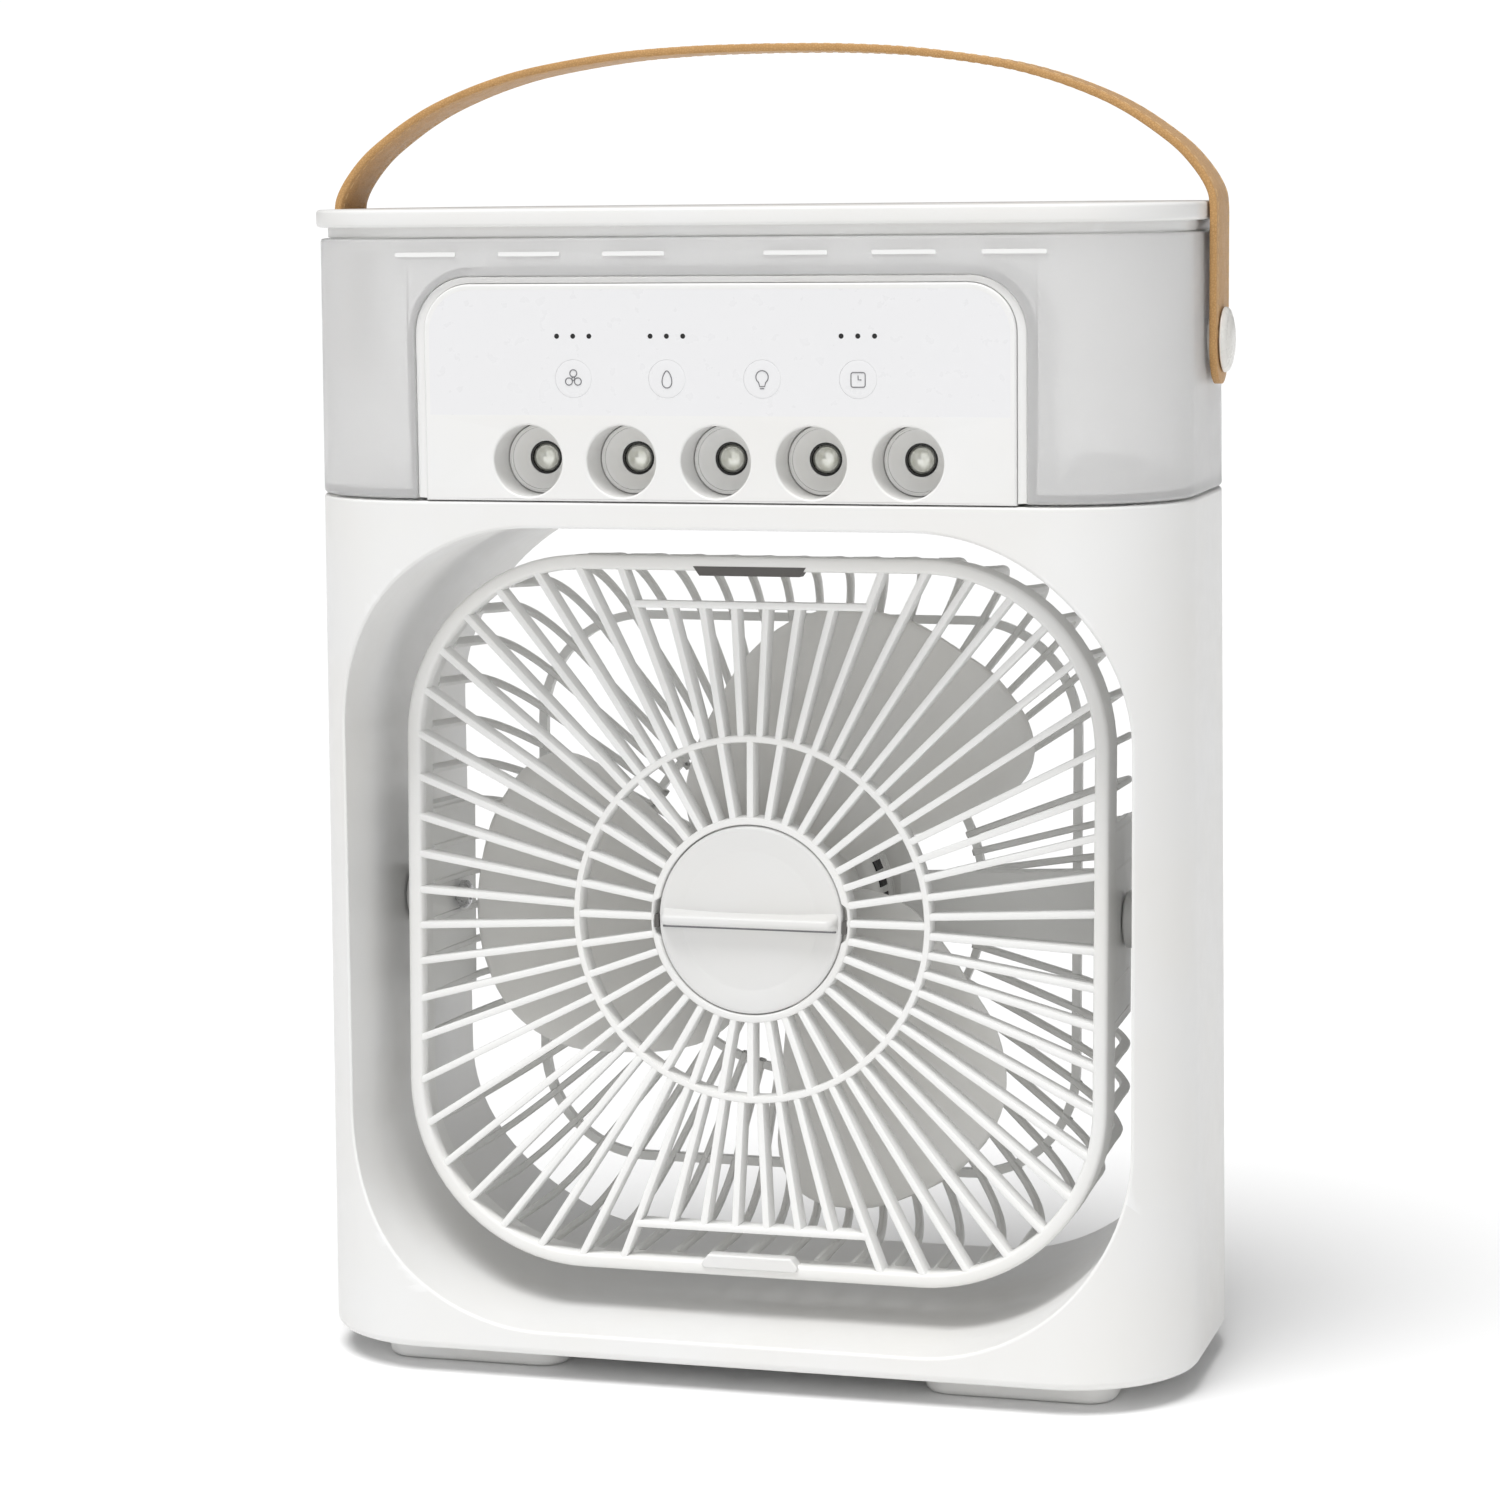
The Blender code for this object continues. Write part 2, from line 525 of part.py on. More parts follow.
def build_grille():
    outlines = [round_rect(-HEAD_HALF, -HEAD_HALF, HEAD_HALF, HEAD_HALF, [HEAD_R] * 4, 9)]
    step = 360 / INNER_SPOKES
    for i in range(INNER_SPOKES):
        outlines.append(gap_hole(i * step, (i + 1) * step, HUB_RING[1],
                                 lambda a, s: circle_reach(a, MID_RING[0], s)))
    step = 360 / OUTER_SPOKES
    inner_half, inner_r = HEAD_HALF - RING_W, HEAD_R - RING_W
    bar_in, bar_out = BAR_Z - BAR_W / 2, BAR_Z + BAR_W / 2
    for i in range(OUTER_SPOKES):
        a0 = 3 + i * step
        middle = (a0 + step / 2) % 180
        if abs(middle - 90) < 21:
            outlines.append(gap_hole(a0, a0 + step, MID_RING[1], lambda a, s: bar_reach(a, s, bar_in)))
        else:
            outlines.append(gap_hole(a0, a0 + step, MID_RING[1],
                                     lambda a, s: square_reach(a, inner_half, inner_r, s)))
    for up in (1, -1):
        left = [bar_reach(111, -SPOKE_W / 2, bar_out), square_reach(111, inner_half, inner_r, -SPOKE_W / 2)]
        right = [(-x, z) for x, z in reversed(left)]
        notch = [(-13.4 * MM, inner_half), (-12.4 * MM, 87.0 * MM), (12.4 * MM, 87.0 * MM),
                 (13.4 * MM, inner_half)]
        outlines.append([(x, up * z) for x, z in left + notch + right])
    hub = []
    for a in range(0, 360, 6):
        near = min(a % 180, 180 - a % 180)
        hub.append(polar(24.4 * MM if near <= 9 else HUB_RING[0], a))
    outlines.append(hub)
    moved = [[(x, z + HEAD_Z) for x, z in outline] for outline in outlines]
    grille = flat_plate("front_grille", moved, GRILLE_FRONT, GRILLE_BACK, material("grille_abs",
                                                                                   WHITE, 0.4))
    set_origin(grille, (0, GRILLE_BACK, HEAD_Z + HEAD_HALF))

    cap = [(0, -0.6 * MM), (17.0 * MM, -0.2 * MM), (17.4 * MM, -0.8 * MM), (22.4 * MM, -0.6 * MM),
           (23.1 * MM, 0.2 * MM), (23.1 * MM, 3.6 * MM), (0, 3.6 * MM)]
    cap_obj = add("hub_cap", turned(cap, (0, 1, 0), (0, GRILLE_FRONT, HEAD_Z), 36),
                  material("cap_abs", WHITE, 0.38))
    fuse(cap_obj, box(-22.0 * MM, 22.0 * MM, GRILLE_FRONT - 4.6 * MM, GRILLE_FRONT + 1 * MM,
                      HEAD_Z - 1.3 * MM, HEAD_Z + 1.3 * MM), "finger_bar")
    set_origin(cap_obj, (0, GRILLE_FRONT, HEAD_Z))

    clip = [(-11.8, -86.7), (11.8, -86.7), (12.4, -85.6), (10.6, -83.2), (-10.6, -83.2), (-12.4, -85.6)]
    latch = prism_y([(x * MM, HEAD_Z + z * MM) for x, z in clip], GRILLE_FRONT - 1.0 * MM,
                    GRILLE_BACK - 0.4 * MM)
    add("grille_latch", latch, material("latch_abs", WHITE, 0.38))


def build_cage():
    """Rear half of the head: a front band, bent ribs, a square ring, a round ring and a motor plate."""
    square = [(-22.7, 0.0), (-15.0, 0.0), (12.0, 1.5), (22.5, 7.2), (27.0, 17.3), (27.5, 19.1)]
    rounds = [47.5, 45.6, 29.5]
    pitch = 360 / CAGE_RIBS

    def station(k, degrees, side):
        if k < len(square):
            y, inset = square[k]
            x, z = square_reach(degrees, HEAD_HALF - 0.3 * MM - inset * MM, HEAD_R - inset * MM, side)
            return x, y * MM, z + HEAD_Z
        x, z = circle_reach(degrees, rounds[k - len(square)] * MM, side)
        return x, 27.5 * MM, z + HEAD_Z

    last = len(square) + len(rounds) - 1
    verts, faces = [], []
    for i in range(CAGE_RIBS):
        for side in (-RIB_W / 2, RIB_W / 2):
            for k in range(last + 1):
                verts.append(station(k, 3 + i * pitch, side))
    row = last + 1
    for i in range(CAGE_RIBS):
        a, b = 2 * i * row, (2 * i + 1) * row
        c = (2 * i + 2) % (2 * CAGE_RIBS) * row
        middle = (6 + i * pitch) % 180
        from_level = min(middle, 180 - middle)
        for k in range(last):
            if k < 7 or i % 5 == 0:
                faces.append([a + k, b + k, b + k + 1, a + k + 1])
            solid = k in (0, 4, 6) or (k == 1 and from_level < 16)
            if solid:
                faces.append([b + k, c + k, c + k + 1, b + k + 1])
    faces.append([j * row + last for j in range(2 * CAGE_RIBS)])
    cage = add_mesh("rear_cage", verts, faces, material("cage_abs", WHITE, 0.42))
    bm = bmesh.new()
    bm.from_mesh(cage.data)
    centre = Vector((0, 0, HEAD_Z))
    if sum((f.calc_center_median() - centre).dot(f.normal) * f.calc_area() for f in bm.faces) < 0:
        bmesh.ops.reverse_faces(bm, faces=bm.faces)
    loose = [v for v in bm.verts if not v.link_faces]
    bmesh.ops.delete(bm, geom=loose, context="VERTS")
    bm.to_mesh(cage.data)
    bm.free()
    skin = cage.modifiers.new("thickness", "SOLIDIFY")
    skin.thickness = RIB_DEPTH
    skin.offset = -1
    skin.use_even_offset = True
    screws = merged(
        turned([(0, -0.092), (2.1 * MM, -0.092), (2.1 * MM, -0.080), (0, -0.080)], (1, 0, 0),
               (0, 0, HEAD_Z), 16),
        turned([(0, 0.080), (2.1 * MM, 0.080), (2.1 * MM, 0.092), (0, 0.092)], (1, 0, 0),
               (0, 0, HEAD_Z), 16),
    )
    cut(cage, screws, "cage_screw_holes")
    set_origin(cage, (0, 0, HEAD_Z))

    for name, s in (("left", -1), ("right", 1)):
        pin = [(0, 94.0 * MM), (2.1 * MM, 94.0 * MM), (2.1 * MM, 88.1 * MM), (7.0 * MM, 88.1 * MM),
               (7.0 * MM, 96.6 * MM), (4.0 * MM, 96.6 * MM), (4.0 * MM, 103.2 * MM), (0, 103.2 * MM)]
        add(f"pivot_{name}", turned(pin, (s, 0, 0), (0, 0, HEAD_Z), 18),
            material(f"pivot_{name}_abs", (0.78, 0.78, 0.78), 0.4))
        nut = [(4.3 * MM, 100.1 * MM), (7.2 * MM, 100.1 * MM), (7.2 * MM, 102.8 * MM), (4.3 * MM,
                                                                                        102.8 * MM)]
        add(f"pivot_nut_{name}", turned(nut, (s, 0, 0), (0, 0, HEAD_Z), 16),
            material(f"pivot_nut_{name}_pom", (0.70, 0.70, 0.70), 0.5))
        screw = [(0, 81.6 * MM), (2.6 * MM, 81.8 * MM), (3.6 * MM, 82.7 * MM), (3.6 * MM, 84.0 * MM),
                 (1.8 * MM, 84.0 * MM), (1.8 * MM, 93.4 * MM), (0, 93.4 * MM)]
        add(f"pivot_screw_{name}", turned(screw, (s, 0, 0), (0, 0, HEAD_Z), 16),
            material(f"pivot_screw_{name}_steel", STEEL, 0.35, 1.0))

    can = [(0, 7.6 * MM), (21.5 * MM, 7.6 * MM), (24.0 * MM, 9.6 * MM), (24.0 * MM, 24.6 * MM), (0,
                                                                                                 24.6 * MM)]
    add("motor_can", turned(can, (0, 1, 0), (0, 0, HEAD_Z), 28), material("motor_black", DARK, 0.4, 0.5))
    arm = [(27.0, 17.2), (76.5, 17.2), (78.0, 19.0), (76.0, 20.6), (27.0, 20.6)]
    add("cable_cover", loft([[(x * MM, y * MM, HEAD_Z + z * MM * (1 + (x - 27) * 0.006)) for x, y in arm]
                             for z in (-7.4, 7.4)]), material("cover_grey", (0.66, 0.66, 0.65), 0.45))


BLADE_EDGES = (
    (17.0, 34, 140), (27.0, 31, 134), (36.0, 29, 125), (45.0, 27.5, 113), (55.0, 27, 102), (63.0, 27, 95.5),
    (70.0, 29, 88.5), (75.0, 33, 81.5), (78.0, 39, 73.5), (79.5, 48, 63),
)  # radius in mm, then the angles of the trailing and the leading edge


def build_rotor():
    across = 5
    verts, faces = [], []
    for blade in range(3):
        start = len(verts)
        for r, a0, a1 in BLADE_EDGES:
            rear = 4.0 + 7.0 * min(1.0, (r - 17) / 38)
            for j in range(across + 1):
                a = a0 + (a1 - a0) * j / across
                share = (a - 27) / 105 if r > 50 else j / across
                y = rear + (-12.5 - rear) * min(share * (1.35 if r > 50 else 1.0), 1.0)
                y -= 1.5 * math.sin(math.pi * j / across)
                x, z = polar(r * MM, a + 120 * blade, HEAD_Z)
                verts.append((x, y * MM, z))
        for i in range(len(BLADE_EDGES) - 1):
            for j in range(across):
                p = start + i * (across + 1) + j
                faces.append([p, p + 1, p + across + 2, p + across + 1])
    blades = add_mesh("blades", verts, faces, tool=True)
    skin = blades.modifiers.new("thickness", "SOLIDIFY")
    skin.thickness = 1.5 * MM
    skin.offset = 0
    hub = [(2.3 * MM, -15.0 * MM), (15.5 * MM, -15.0 * MM), (18.6 * MM, -13.8 * MM), (19.6 * MM,
                                                                                      -11.0 * MM),
           (20.2 * MM, 6.6 * MM), (2.3 * MM, 6.6 * MM)]
    rotor = add("fan_rotor", turned(hub, (0, 1, 0), (0, 0, HEAD_Z), 30), material("blade_grey", GREY, 0.4))
    boolean(rotor, blades, "UNION")
    set_origin(rotor, (0, 0, HEAD_Z))
    shaft = [(0, -18.6 * MM), (2.0 * MM, -18.6 * MM), (2.0 * MM, 7.3 * MM), (0, 7.3 * MM)]
    obj = add("motor_shaft", turned(shaft, (0, 1, 0), (0, 0, HEAD_Z), 16), material("shaft_steel",
                                                                                    STEEL, 0.3, 1.0))
    set_origin(obj, (0, 0, HEAD_Z))
    nut = [(2.3 * MM, -18.2 * MM), (4.6 * MM, -18.2 * MM), (5.6 * MM, -17.2 * MM), (5.6 * MM, -15.3 * MM),
           (2.3 * MM, -15.3 * MM)]
    obj = add("spin_nut", turned(nut, (0, 1, 0), (0, 0, HEAD_Z), 16), material("nut_grey", (0.55,
                                                                                            0.55, 0.55), 0.4))
    set_origin(obj, (0, 0, HEAD_Z))


HEAD_NODES = (
    "front_grille", "hub_cap", "grille_latch", "rear_cage", "pivot_left", "pivot_right", "pivot_screw_left",
    "pivot_screw_right", "motor_can", "cable_cover", "fan_rotor", "motor_shaft", "spin_nut",
)


def lean_head():
    """Turns the whole head, and the shapes cut from or fused to it, back about the pivots."""
    pivot = Vector((0, 0, HEAD_Z))
    lean = Matrix.Translation(pivot) @ Matrix.Rotation(-HEAD_LEAN, 4, "X") @ Matrix.Translation(-pivot)
    for name in HEAD_NODES:
        obj = bpy.data.objects[name]
        tools = [mod.object for mod in obj.modifiers if mod.type == "BOOLEAN"]
        for each in [obj, *tools]:
            each.matrix_basis = lean @ each.matrix_basis


build_body()
build_console()
build_tank()
build_handle()
build_grille()
build_cage()
build_rotor()
lean_head()
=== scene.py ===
"""Desk box fan with a mist tank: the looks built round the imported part.

Lengths are in millimetres, and the studio in metres."""
import math

import bmesh  # noqa: E402
import bpy  # noqa: E402
from mathutils import Matrix, Vector  # noqa: E402
from mathutils.geometry import tessellate_polygon  # noqa: E402


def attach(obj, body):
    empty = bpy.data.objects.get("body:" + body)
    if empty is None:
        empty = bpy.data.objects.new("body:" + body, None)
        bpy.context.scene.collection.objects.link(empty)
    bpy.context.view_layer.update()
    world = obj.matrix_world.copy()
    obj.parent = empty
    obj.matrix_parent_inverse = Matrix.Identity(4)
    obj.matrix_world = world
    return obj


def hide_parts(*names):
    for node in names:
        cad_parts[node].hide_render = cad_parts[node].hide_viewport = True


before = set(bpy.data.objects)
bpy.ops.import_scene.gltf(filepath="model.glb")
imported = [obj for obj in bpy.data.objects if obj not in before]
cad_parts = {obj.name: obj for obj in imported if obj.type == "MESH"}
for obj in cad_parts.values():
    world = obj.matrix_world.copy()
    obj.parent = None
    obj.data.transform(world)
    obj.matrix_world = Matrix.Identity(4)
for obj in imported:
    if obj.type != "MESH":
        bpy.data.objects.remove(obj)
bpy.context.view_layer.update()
MM = 0.001

# Sizes shared with the part, in mm
HALF_W, TAPER, FACE_Y = 110.0, 1.65, 51.9
R_FRONT, R_BACK = 31.5, 39.6
BODY_Z0, BODY_Z1 = 6.0, 215.2
TUNNEL_HALF, TUNNEL_Z0, TUNNEL_Z1, TUNNEL_R, TUNNEL_DRAFT = 97.6, 12.2, 208.9, 50.9, 1.0
TANK_Z0, TANK_Z1 = 215.8, 277.5
NOZZLE_Z, NOZZLE_R = 225.0, 8.5
NOZZLE_XS = [23.2 * (i - 2) for i in range(5)]
BUTTON_X, BUTTON_Z, BUTTON_R = (-34.7, -11.6, 11.6, 34.7), 244.5, 4.5
LED_X, LED_Z, LED_PITCH = (-34.7, -11.6, 34.7), 254.5, 4.0
LID_Z0, LID_Z1 = 280.2, 284.5
HEAD_Z, HEAD_HALF, HEAD_R = 110.8, 88.6, 45.7
HEAD_LEAN = math.radians(2.0)
HEAD_BODIES = ("head", "rotor", "grille", "cap", "latch")
RIVET_Z = 251.7


# ---- materials
def shader(name, **values):
    """A new material and its Principled shader, with plain numbers set on the shader's own sockets."""
    mat = bpy.data.materials.new(name)
    mat.use_nodes = True
    bsdf = mat.node_tree.nodes["Principled BSDF"]
    for key, value in values.items():
        socket = bsdf.inputs[key.replace("_", " ")]
        socket.default_value = (*value, 1.0) if isinstance(value, tuple) and len(value) == 3 else value
    return mat, bsdf


def add_node(mat, kind, **inputs):
    node = mat.node_tree.nodes.new(kind)
    for key, value in inputs.items():
        node.inputs[key.replace("_", " ")].default_value = value
    return node


def link(mat, a, b):
    mat.node_tree.links.new(a, b)


def noise(mat, per_mm, detail=3.0, stretch=(1, 1, 1)):
    coord = add_node(mat, "ShaderNodeTexCoord")
    mapping = add_node(mat, "ShaderNodeMapping")
    mapping.inputs["Scale"].default_value = [1000.0 * per_mm * k for k in stretch]
    link(mat, coord.outputs["Object"], mapping.inputs["Vector"])
    tex = add_node(mat, "ShaderNodeTexNoise", Scale=1.0, Detail=detail)
    link(mat, mapping.outputs["Vector"], tex.inputs["Vector"])
    return tex.outputs["Fac"]


def span(mat, source, low, high, from_low=0.3, from_high=0.7):
    node = add_node(mat, "ShaderNodeMapRange", From_Min=from_low, From_Max=from_high, To_Min=low, To_Max=high)
    link(mat, source, node.inputs["Value"])
    return node.outputs["Result"]


def blend_colours(mat, factor, a, b):
    node = add_node(mat, "ShaderNodeMix")
    node.data_type = "RGBA"
    for socket, colour in ((node.inputs[6], a), (node.inputs[7], b)):
        if isinstance(colour, tuple):
            socket.default_value = (*colour, 1.0)
        else:
            link(mat, colour, socket)
    link(mat, factor, node.inputs[0])
    return node.outputs[2]


def relief(mat, bsdf, height, strength, distance_mm):
    bump = add_node(mat, "ShaderNodeBump", Strength=strength, Distance=distance_mm * MM)
    link(mat, height, bump.inputs["Height"])
    link(mat, bump.outputs["Normal"], bsdf.inputs["Normal"])


def mottle(mat, per_mm, detail, first, second):
    """Two colours mixed by noise."""
    return blend_colours(mat, span(mat, noise(mat, per_mm, detail), 0.0, 1.0), first, second)


def uneven_gloss(mat, bsdf, low, high, per_mm, detail=4.0):
    link(mat, span(mat, noise(mat, per_mm, detail), low, high), bsdf.inputs["Roughness"])


def plastic(name, rgb, rough=0.42, grain=1.6, depth=0.012, tint=0.03, edge_paling=0.05, **extra):
    """Moulded plastic: a fine mould grain, slow colour drift, uneven gloss and slightly paler edges."""
    mat, bsdf = shader(name, Base_Color=rgb, Specular_IOR_Level=0.45, **extra)
    warm = tuple(c * k for c, k in zip(rgb, (1 - tint * 0.4, 1 - tint * 0.7, 1 - tint * 1.3)))
    drift = mottle(mat, 0.03, 2.0, rgb, warm)
    # Sharp convex edges are drawn a little paler.
    edge = add_node(mat, "ShaderNodeNewGeometry")
    rim = span(mat, edge.outputs["Pointiness"], 0.0, 1.0, 0.52, 0.62)
    pale = tuple(min(1.0, c * (1 + edge_paling)) for c in rgb)
    link(mat, blend_colours(mat, rim, drift, pale), bsdf.inputs["Base Color"])
    uneven_gloss(mat, bsdf, rough - 0.05, rough + 0.07, 0.25)
    relief(mat, bsdf, noise(mat, grain, 2.0), 0.35, depth)
    return mat


def metal(name, rgb, rough):
    """Metal with slow drifts of colour and gloss and a fine grain."""
    mat, bsdf = shader(name, Base_Color=rgb, Metallic=1.0)
    dull = tuple(c * 0.78 for c in rgb)
    link(mat, mottle(mat, 0.4, 4.0, rgb, dull), bsdf.inputs["Base Color"])
    uneven_gloss(mat, bsdf, rough - 0.08, rough + 0.12, 1.2, 3.0)
    relief(mat, bsdf, noise(mat, 2.5, 2.0), 0.25, 0.01)
    return mat


def frosted(name):
    """Frosted clear plastic: see-through but blurred, with a faint flow pattern in its colour."""
    mat, bsdf = shader(name, Base_Color=(0.98, 0.978, 0.975), IOR=1.2, Transmission_Weight=0.6,
                       Specular_IOR_Level=0.5)
    flow = blend_colours(mat, span(mat, noise(mat, 0.02, 3.0, (1, 1, 2)), 0.0, 1.0),
                         (0.985, 0.983, 0.98), (0.965, 0.963, 0.96))
    link(mat, flow, bsdf.inputs["Base Color"])
    uneven_gloss(mat, bsdf, 0.30, 0.40, 0.15)
    relief(mat, bsdf, noise(mat, 1.2, 2.0), 0.25, 0.015)
    return mat


def leather(name, rgb):
    """Tan leather: pebbled cells and a slow drift of colour, darker in the creases."""
    mat, bsdf = shader(name, Base_Color=rgb, Specular_IOR_Level=0.35, Sheen_Weight=0.08)
    coord = add_node(mat, "ShaderNodeTexCoord")
    cells = add_node(mat, "ShaderNodeTexVoronoi", Scale=1500.0)
    cells.feature = "DISTANCE_TO_EDGE"
    link(mat, coord.outputs["Object"], cells.inputs["Vector"])
    crease = span(mat, cells.outputs["Distance"], 0.0, 1.0, 0.0, 0.25)
    dark = tuple(c * k for c, k in zip(rgb, (0.80, 0.74, 0.66)))
    light = tuple(min(1, c * k) for c, k in zip(rgb, (1.10, 1.10, 1.12)))
    drift = mottle(mat, 0.08, 4.0, rgb, light)
    grain = blend_colours(mat, crease, dark, drift)
    link(mat, blend_colours(mat, span(mat, noise(mat, 0.5, 3.0), 0.55, 1.0), drift, grain),
         bsdf.inputs["Base Color"])
    uneven_gloss(mat, bsdf, 0.46, 0.62, 0.4)
    relief(mat, bsdf, crease, 0.30, 0.05)
    return mat


def mirrored_glass(name):
    """A glassy disc with a dull metal shine behind a clear coat."""
    mat, bsdf = shader(name, Base_Color=(0.62, 0.63, 0.55), IOR=1.5, Metallic=0.55,
                       Transmission_Weight=0.1, Coat_Weight=1.0, Coat_Roughness=0.03)
    uneven_gloss(mat, bsdf, 0.04, 0.14, 1.0, 3.0)
    shine = mottle(mat, 0.6, 3.0, (0.93, 0.935, 0.88), (0.74, 0.75, 0.66))
    link(mat, shine, bsdf.inputs["Base Color"])
    relief(mat, bsdf, noise(mat, 1.5, 2.0), 0.2, 0.02)
    return mat


WHITE = (0.79, 0.79, 0.785)
FILM = ((0.77, 0.77, 0.78), 0.30, 3.0, 0.002, 0.004, 0.0)
M = {
    "shell": plastic("shell_abs", WHITE, 0.36),
    "console": plastic("console_abs", WHITE, 0.36),
    "overlay": plastic("overlay_film", *FILM),
    "button": plastic("button_caps", *FILM),
    # Icon print, and also the painted shadow strip under the cap's finger bar.
    "ink_and_painted_shadow": plastic("icon_ink_and_painted_shadow", (0.17, 0.17, 0.18), 0.5, 3.0, 0.004),
    # Black plastic for the inlet tongue, and also painted shade in the LED holes.
    "hole_shade_and_black": plastic("hole_shade_and_black_plastic", (0.008, 0.008, 0.008), 0.35, 3.0, 0.004),
    "nozzle": plastic("nozzle_abs", (0.88, 0.88, 0.87), 0.24),
    "funnel": plastic("funnel_white", (0.90, 0.90, 0.89), 0.18),
    "ring": plastic("mister_ring", (0.012, 0.012, 0.011), 0.22, 3.0, 0.004),
    "frosted": frosted("tank_clear"),
    "lid": plastic("lid_abs", WHITE, 0.34),
    "leather": leather("strap_leather", (0.515, 0.300, 0.118)),
    "thread": plastic("strap_thread", (0.60, 0.40, 0.20), 0.7, 2.0, 0.05),
    "rivet": plastic("rivet_cap", (0.74, 0.73, 0.70), 0.26),
    "grille": plastic("grille_abs", (0.81, 0.81, 0.80), 0.36),
    "cap": plastic("cap_abs", (0.745, 0.745, 0.74), 0.34),
    "cage": plastic("cage_abs", (0.80, 0.80, 0.785), 0.42),
    "blade": plastic("blade_grey", (0.84, 0.835, 0.815), 0.36),
    "cover": plastic("cover_grey", (0.76, 0.76, 0.745), 0.42),
    # Painted shade for the motor can's vent slots.
    "motor": metal("motor_black", (0.018, 0.018, 0.020), 0.42),
    "steel": metal("steel", (0.62, 0.62, 0.63), 0.26),
    "pad": plastic("foot_pad", (0.85, 0.85, 0.84), 0.5),
    "valve": plastic("valve_grey", (0.50, 0.50, 0.50), 0.5),
    # Painted shade for the grille's top notch and for the gaps beside the hub cap.
    "slot_shade": plastic("painted_slot_shade", (0.10, 0.095, 0.09), 0.5),
    "pcb": plastic("pcb_green", (0.03, 0.13, 0.07), 0.4),
    "pom": plastic("pivot_white", (0.72, 0.72, 0.71), 0.36),
    "glass": mirrored_glass("mister_glass"),
}


# ---- mesh tools
def arc(cx, cy, r, a0, a1, n):
    return [(cx + r * math.cos(math.radians(a0 + (a1 - a0) * i / n)),
             cy + r * math.sin(math.radians(a0 + (a1 - a0) * i / n))) for i in range(n + 1)]


def round_rect(x0, z0, x1, z1, radii, n=12):
    """Rounded rectangle, radii for the corners bottom-left, bottom-right, top-right, top-left."""
    if not hasattr(radii, "__len__"):
        radii = [radii] * 4
    corners = ((x0, z0, 1, 1, 180), (x1, z0, -1, 1, 270), (x1, z1, -1, -1, 0), (x0, z1, 1, -1, 90))
    points = []
    for (x, z, sx, sz, a0), r in zip(corners, radii):
        points += arc(x + sx * r, z + sz * r, r, a0, a0 + 90, n) if r > 0 else [(x, z)]
    return points


def arched(half, z0, z1, r, n=16):
    """A rectangle round the middle plane, with only its top corners rounded."""
    return round_rect(-half, z0, half, z1, [0, 0, r, r], n)


def loft(sections, caps=True, closed=False):
    """Faces through equal-length closed outlines of 3-D points."""
    count = len(sections[0])
    verts = [tuple(p) for section in sections for p in section]
    faces = []
    if caps and not closed:
        faces = [list(range(count))[::-1], [len(verts) - count + i for i in range(count)]]
    rows = len(sections)
    for s in range(rows if closed else rows - 1):
        a, b = s * count, (s + 1) % rows * count
        faces += [[a + i, a + (i + 1) % count, b + (i + 1) % count, b + i] for i in range(count)]
    return verts, faces


def stack(levels):
    """A solid through flat (height, outline) levels."""
    return loft([[(x, y, z) for x, y in outline] for z, outline in levels])


def merged(*solids):
    verts, faces = [], []
    for v, f in solids:
        start = len(verts)
        verts += v
        faces += [[start + i for i in face] for face in f]
    return verts, faces


def turned(profile, axis, centre, steps=48):
    """A solid turned from (radius, distance along the axis) points, a ring if neither end is on the axis."""
    turn = Vector((0, 0, 1)).rotation_difference(Vector(axis)).to_matrix()
    verts, rings = [], []
    for r, h in profile:
        start = len(verts)
        count = steps if r > 1e-9 else 1
        rings.append([start + i for i in range(count)])
        for i in range(count):
            a = 2 * math.pi * i / steps
            verts.append(tuple(turn @ Vector((r * math.cos(a), r * math.sin(a), h)) + Vector(centre)))
    pairs = list(zip(rings, rings[1:]))
    if len(rings[0]) > 1 and len(rings[-1]) > 1:
        pairs.append((rings[-1], rings[0]))
    faces = []
    for a, b in pairs:
        for i in range(steps):
            j = (i + 1) % steps
            faces.append(list(dict.fromkeys([a[i % len(a)], a[j % len(a)], b[j % len(b)], b[i % len(b)]])))
    return verts, faces


def placed(name, data):
    """A new object in the scene."""
    obj = bpy.data.objects.new(name, data)
    bpy.context.scene.collection.objects.link(obj)
    return obj


def shade_smooth(mesh):
    mesh.polygons.foreach_set("use_smooth", [True] * len(mesh.polygons))


def face_outward(mesh, merge=0.0):
    """Turns every face outward, after joining points closer than merge, in metres."""
    bm = bmesh.new()
    bm.from_mesh(mesh)
    if merge:
        bmesh.ops.remove_doubles(bm, verts=bm.verts, dist=merge)
    bmesh.ops.recalc_face_normals(bm, faces=bm.faces)
    bm.to_mesh(mesh)
    bm.free()


def make_mesh(name, solid, outward=True):
    mesh = bpy.data.meshes.new(name)
    verts, faces = solid
    mesh.from_pydata([tuple(c * MM for c in v) for v in verts], [], faces)
    if outward:
        face_outward(mesh)
    shade_smooth(mesh)
    mesh.update()
    return mesh


def as_mesh(name, solid):
    return solid if isinstance(solid, bpy.types.Mesh) else make_mesh(name, solid)


def evaluated(obj):
    """The object's mesh with its modifiers applied."""
    return bpy.data.meshes.new_from_object(obj.evaluated_get(bpy.context.evaluated_depsgraph_get()))


def even_faces(obj, weight=90):
    """Keeps a plate's big faces evenly shaded up to their rounded edges."""
    weigh = obj.modifiers.new("normals", "WEIGHTED_NORMAL")
    weigh.keep_sharp = True
    weigh.weight = weight


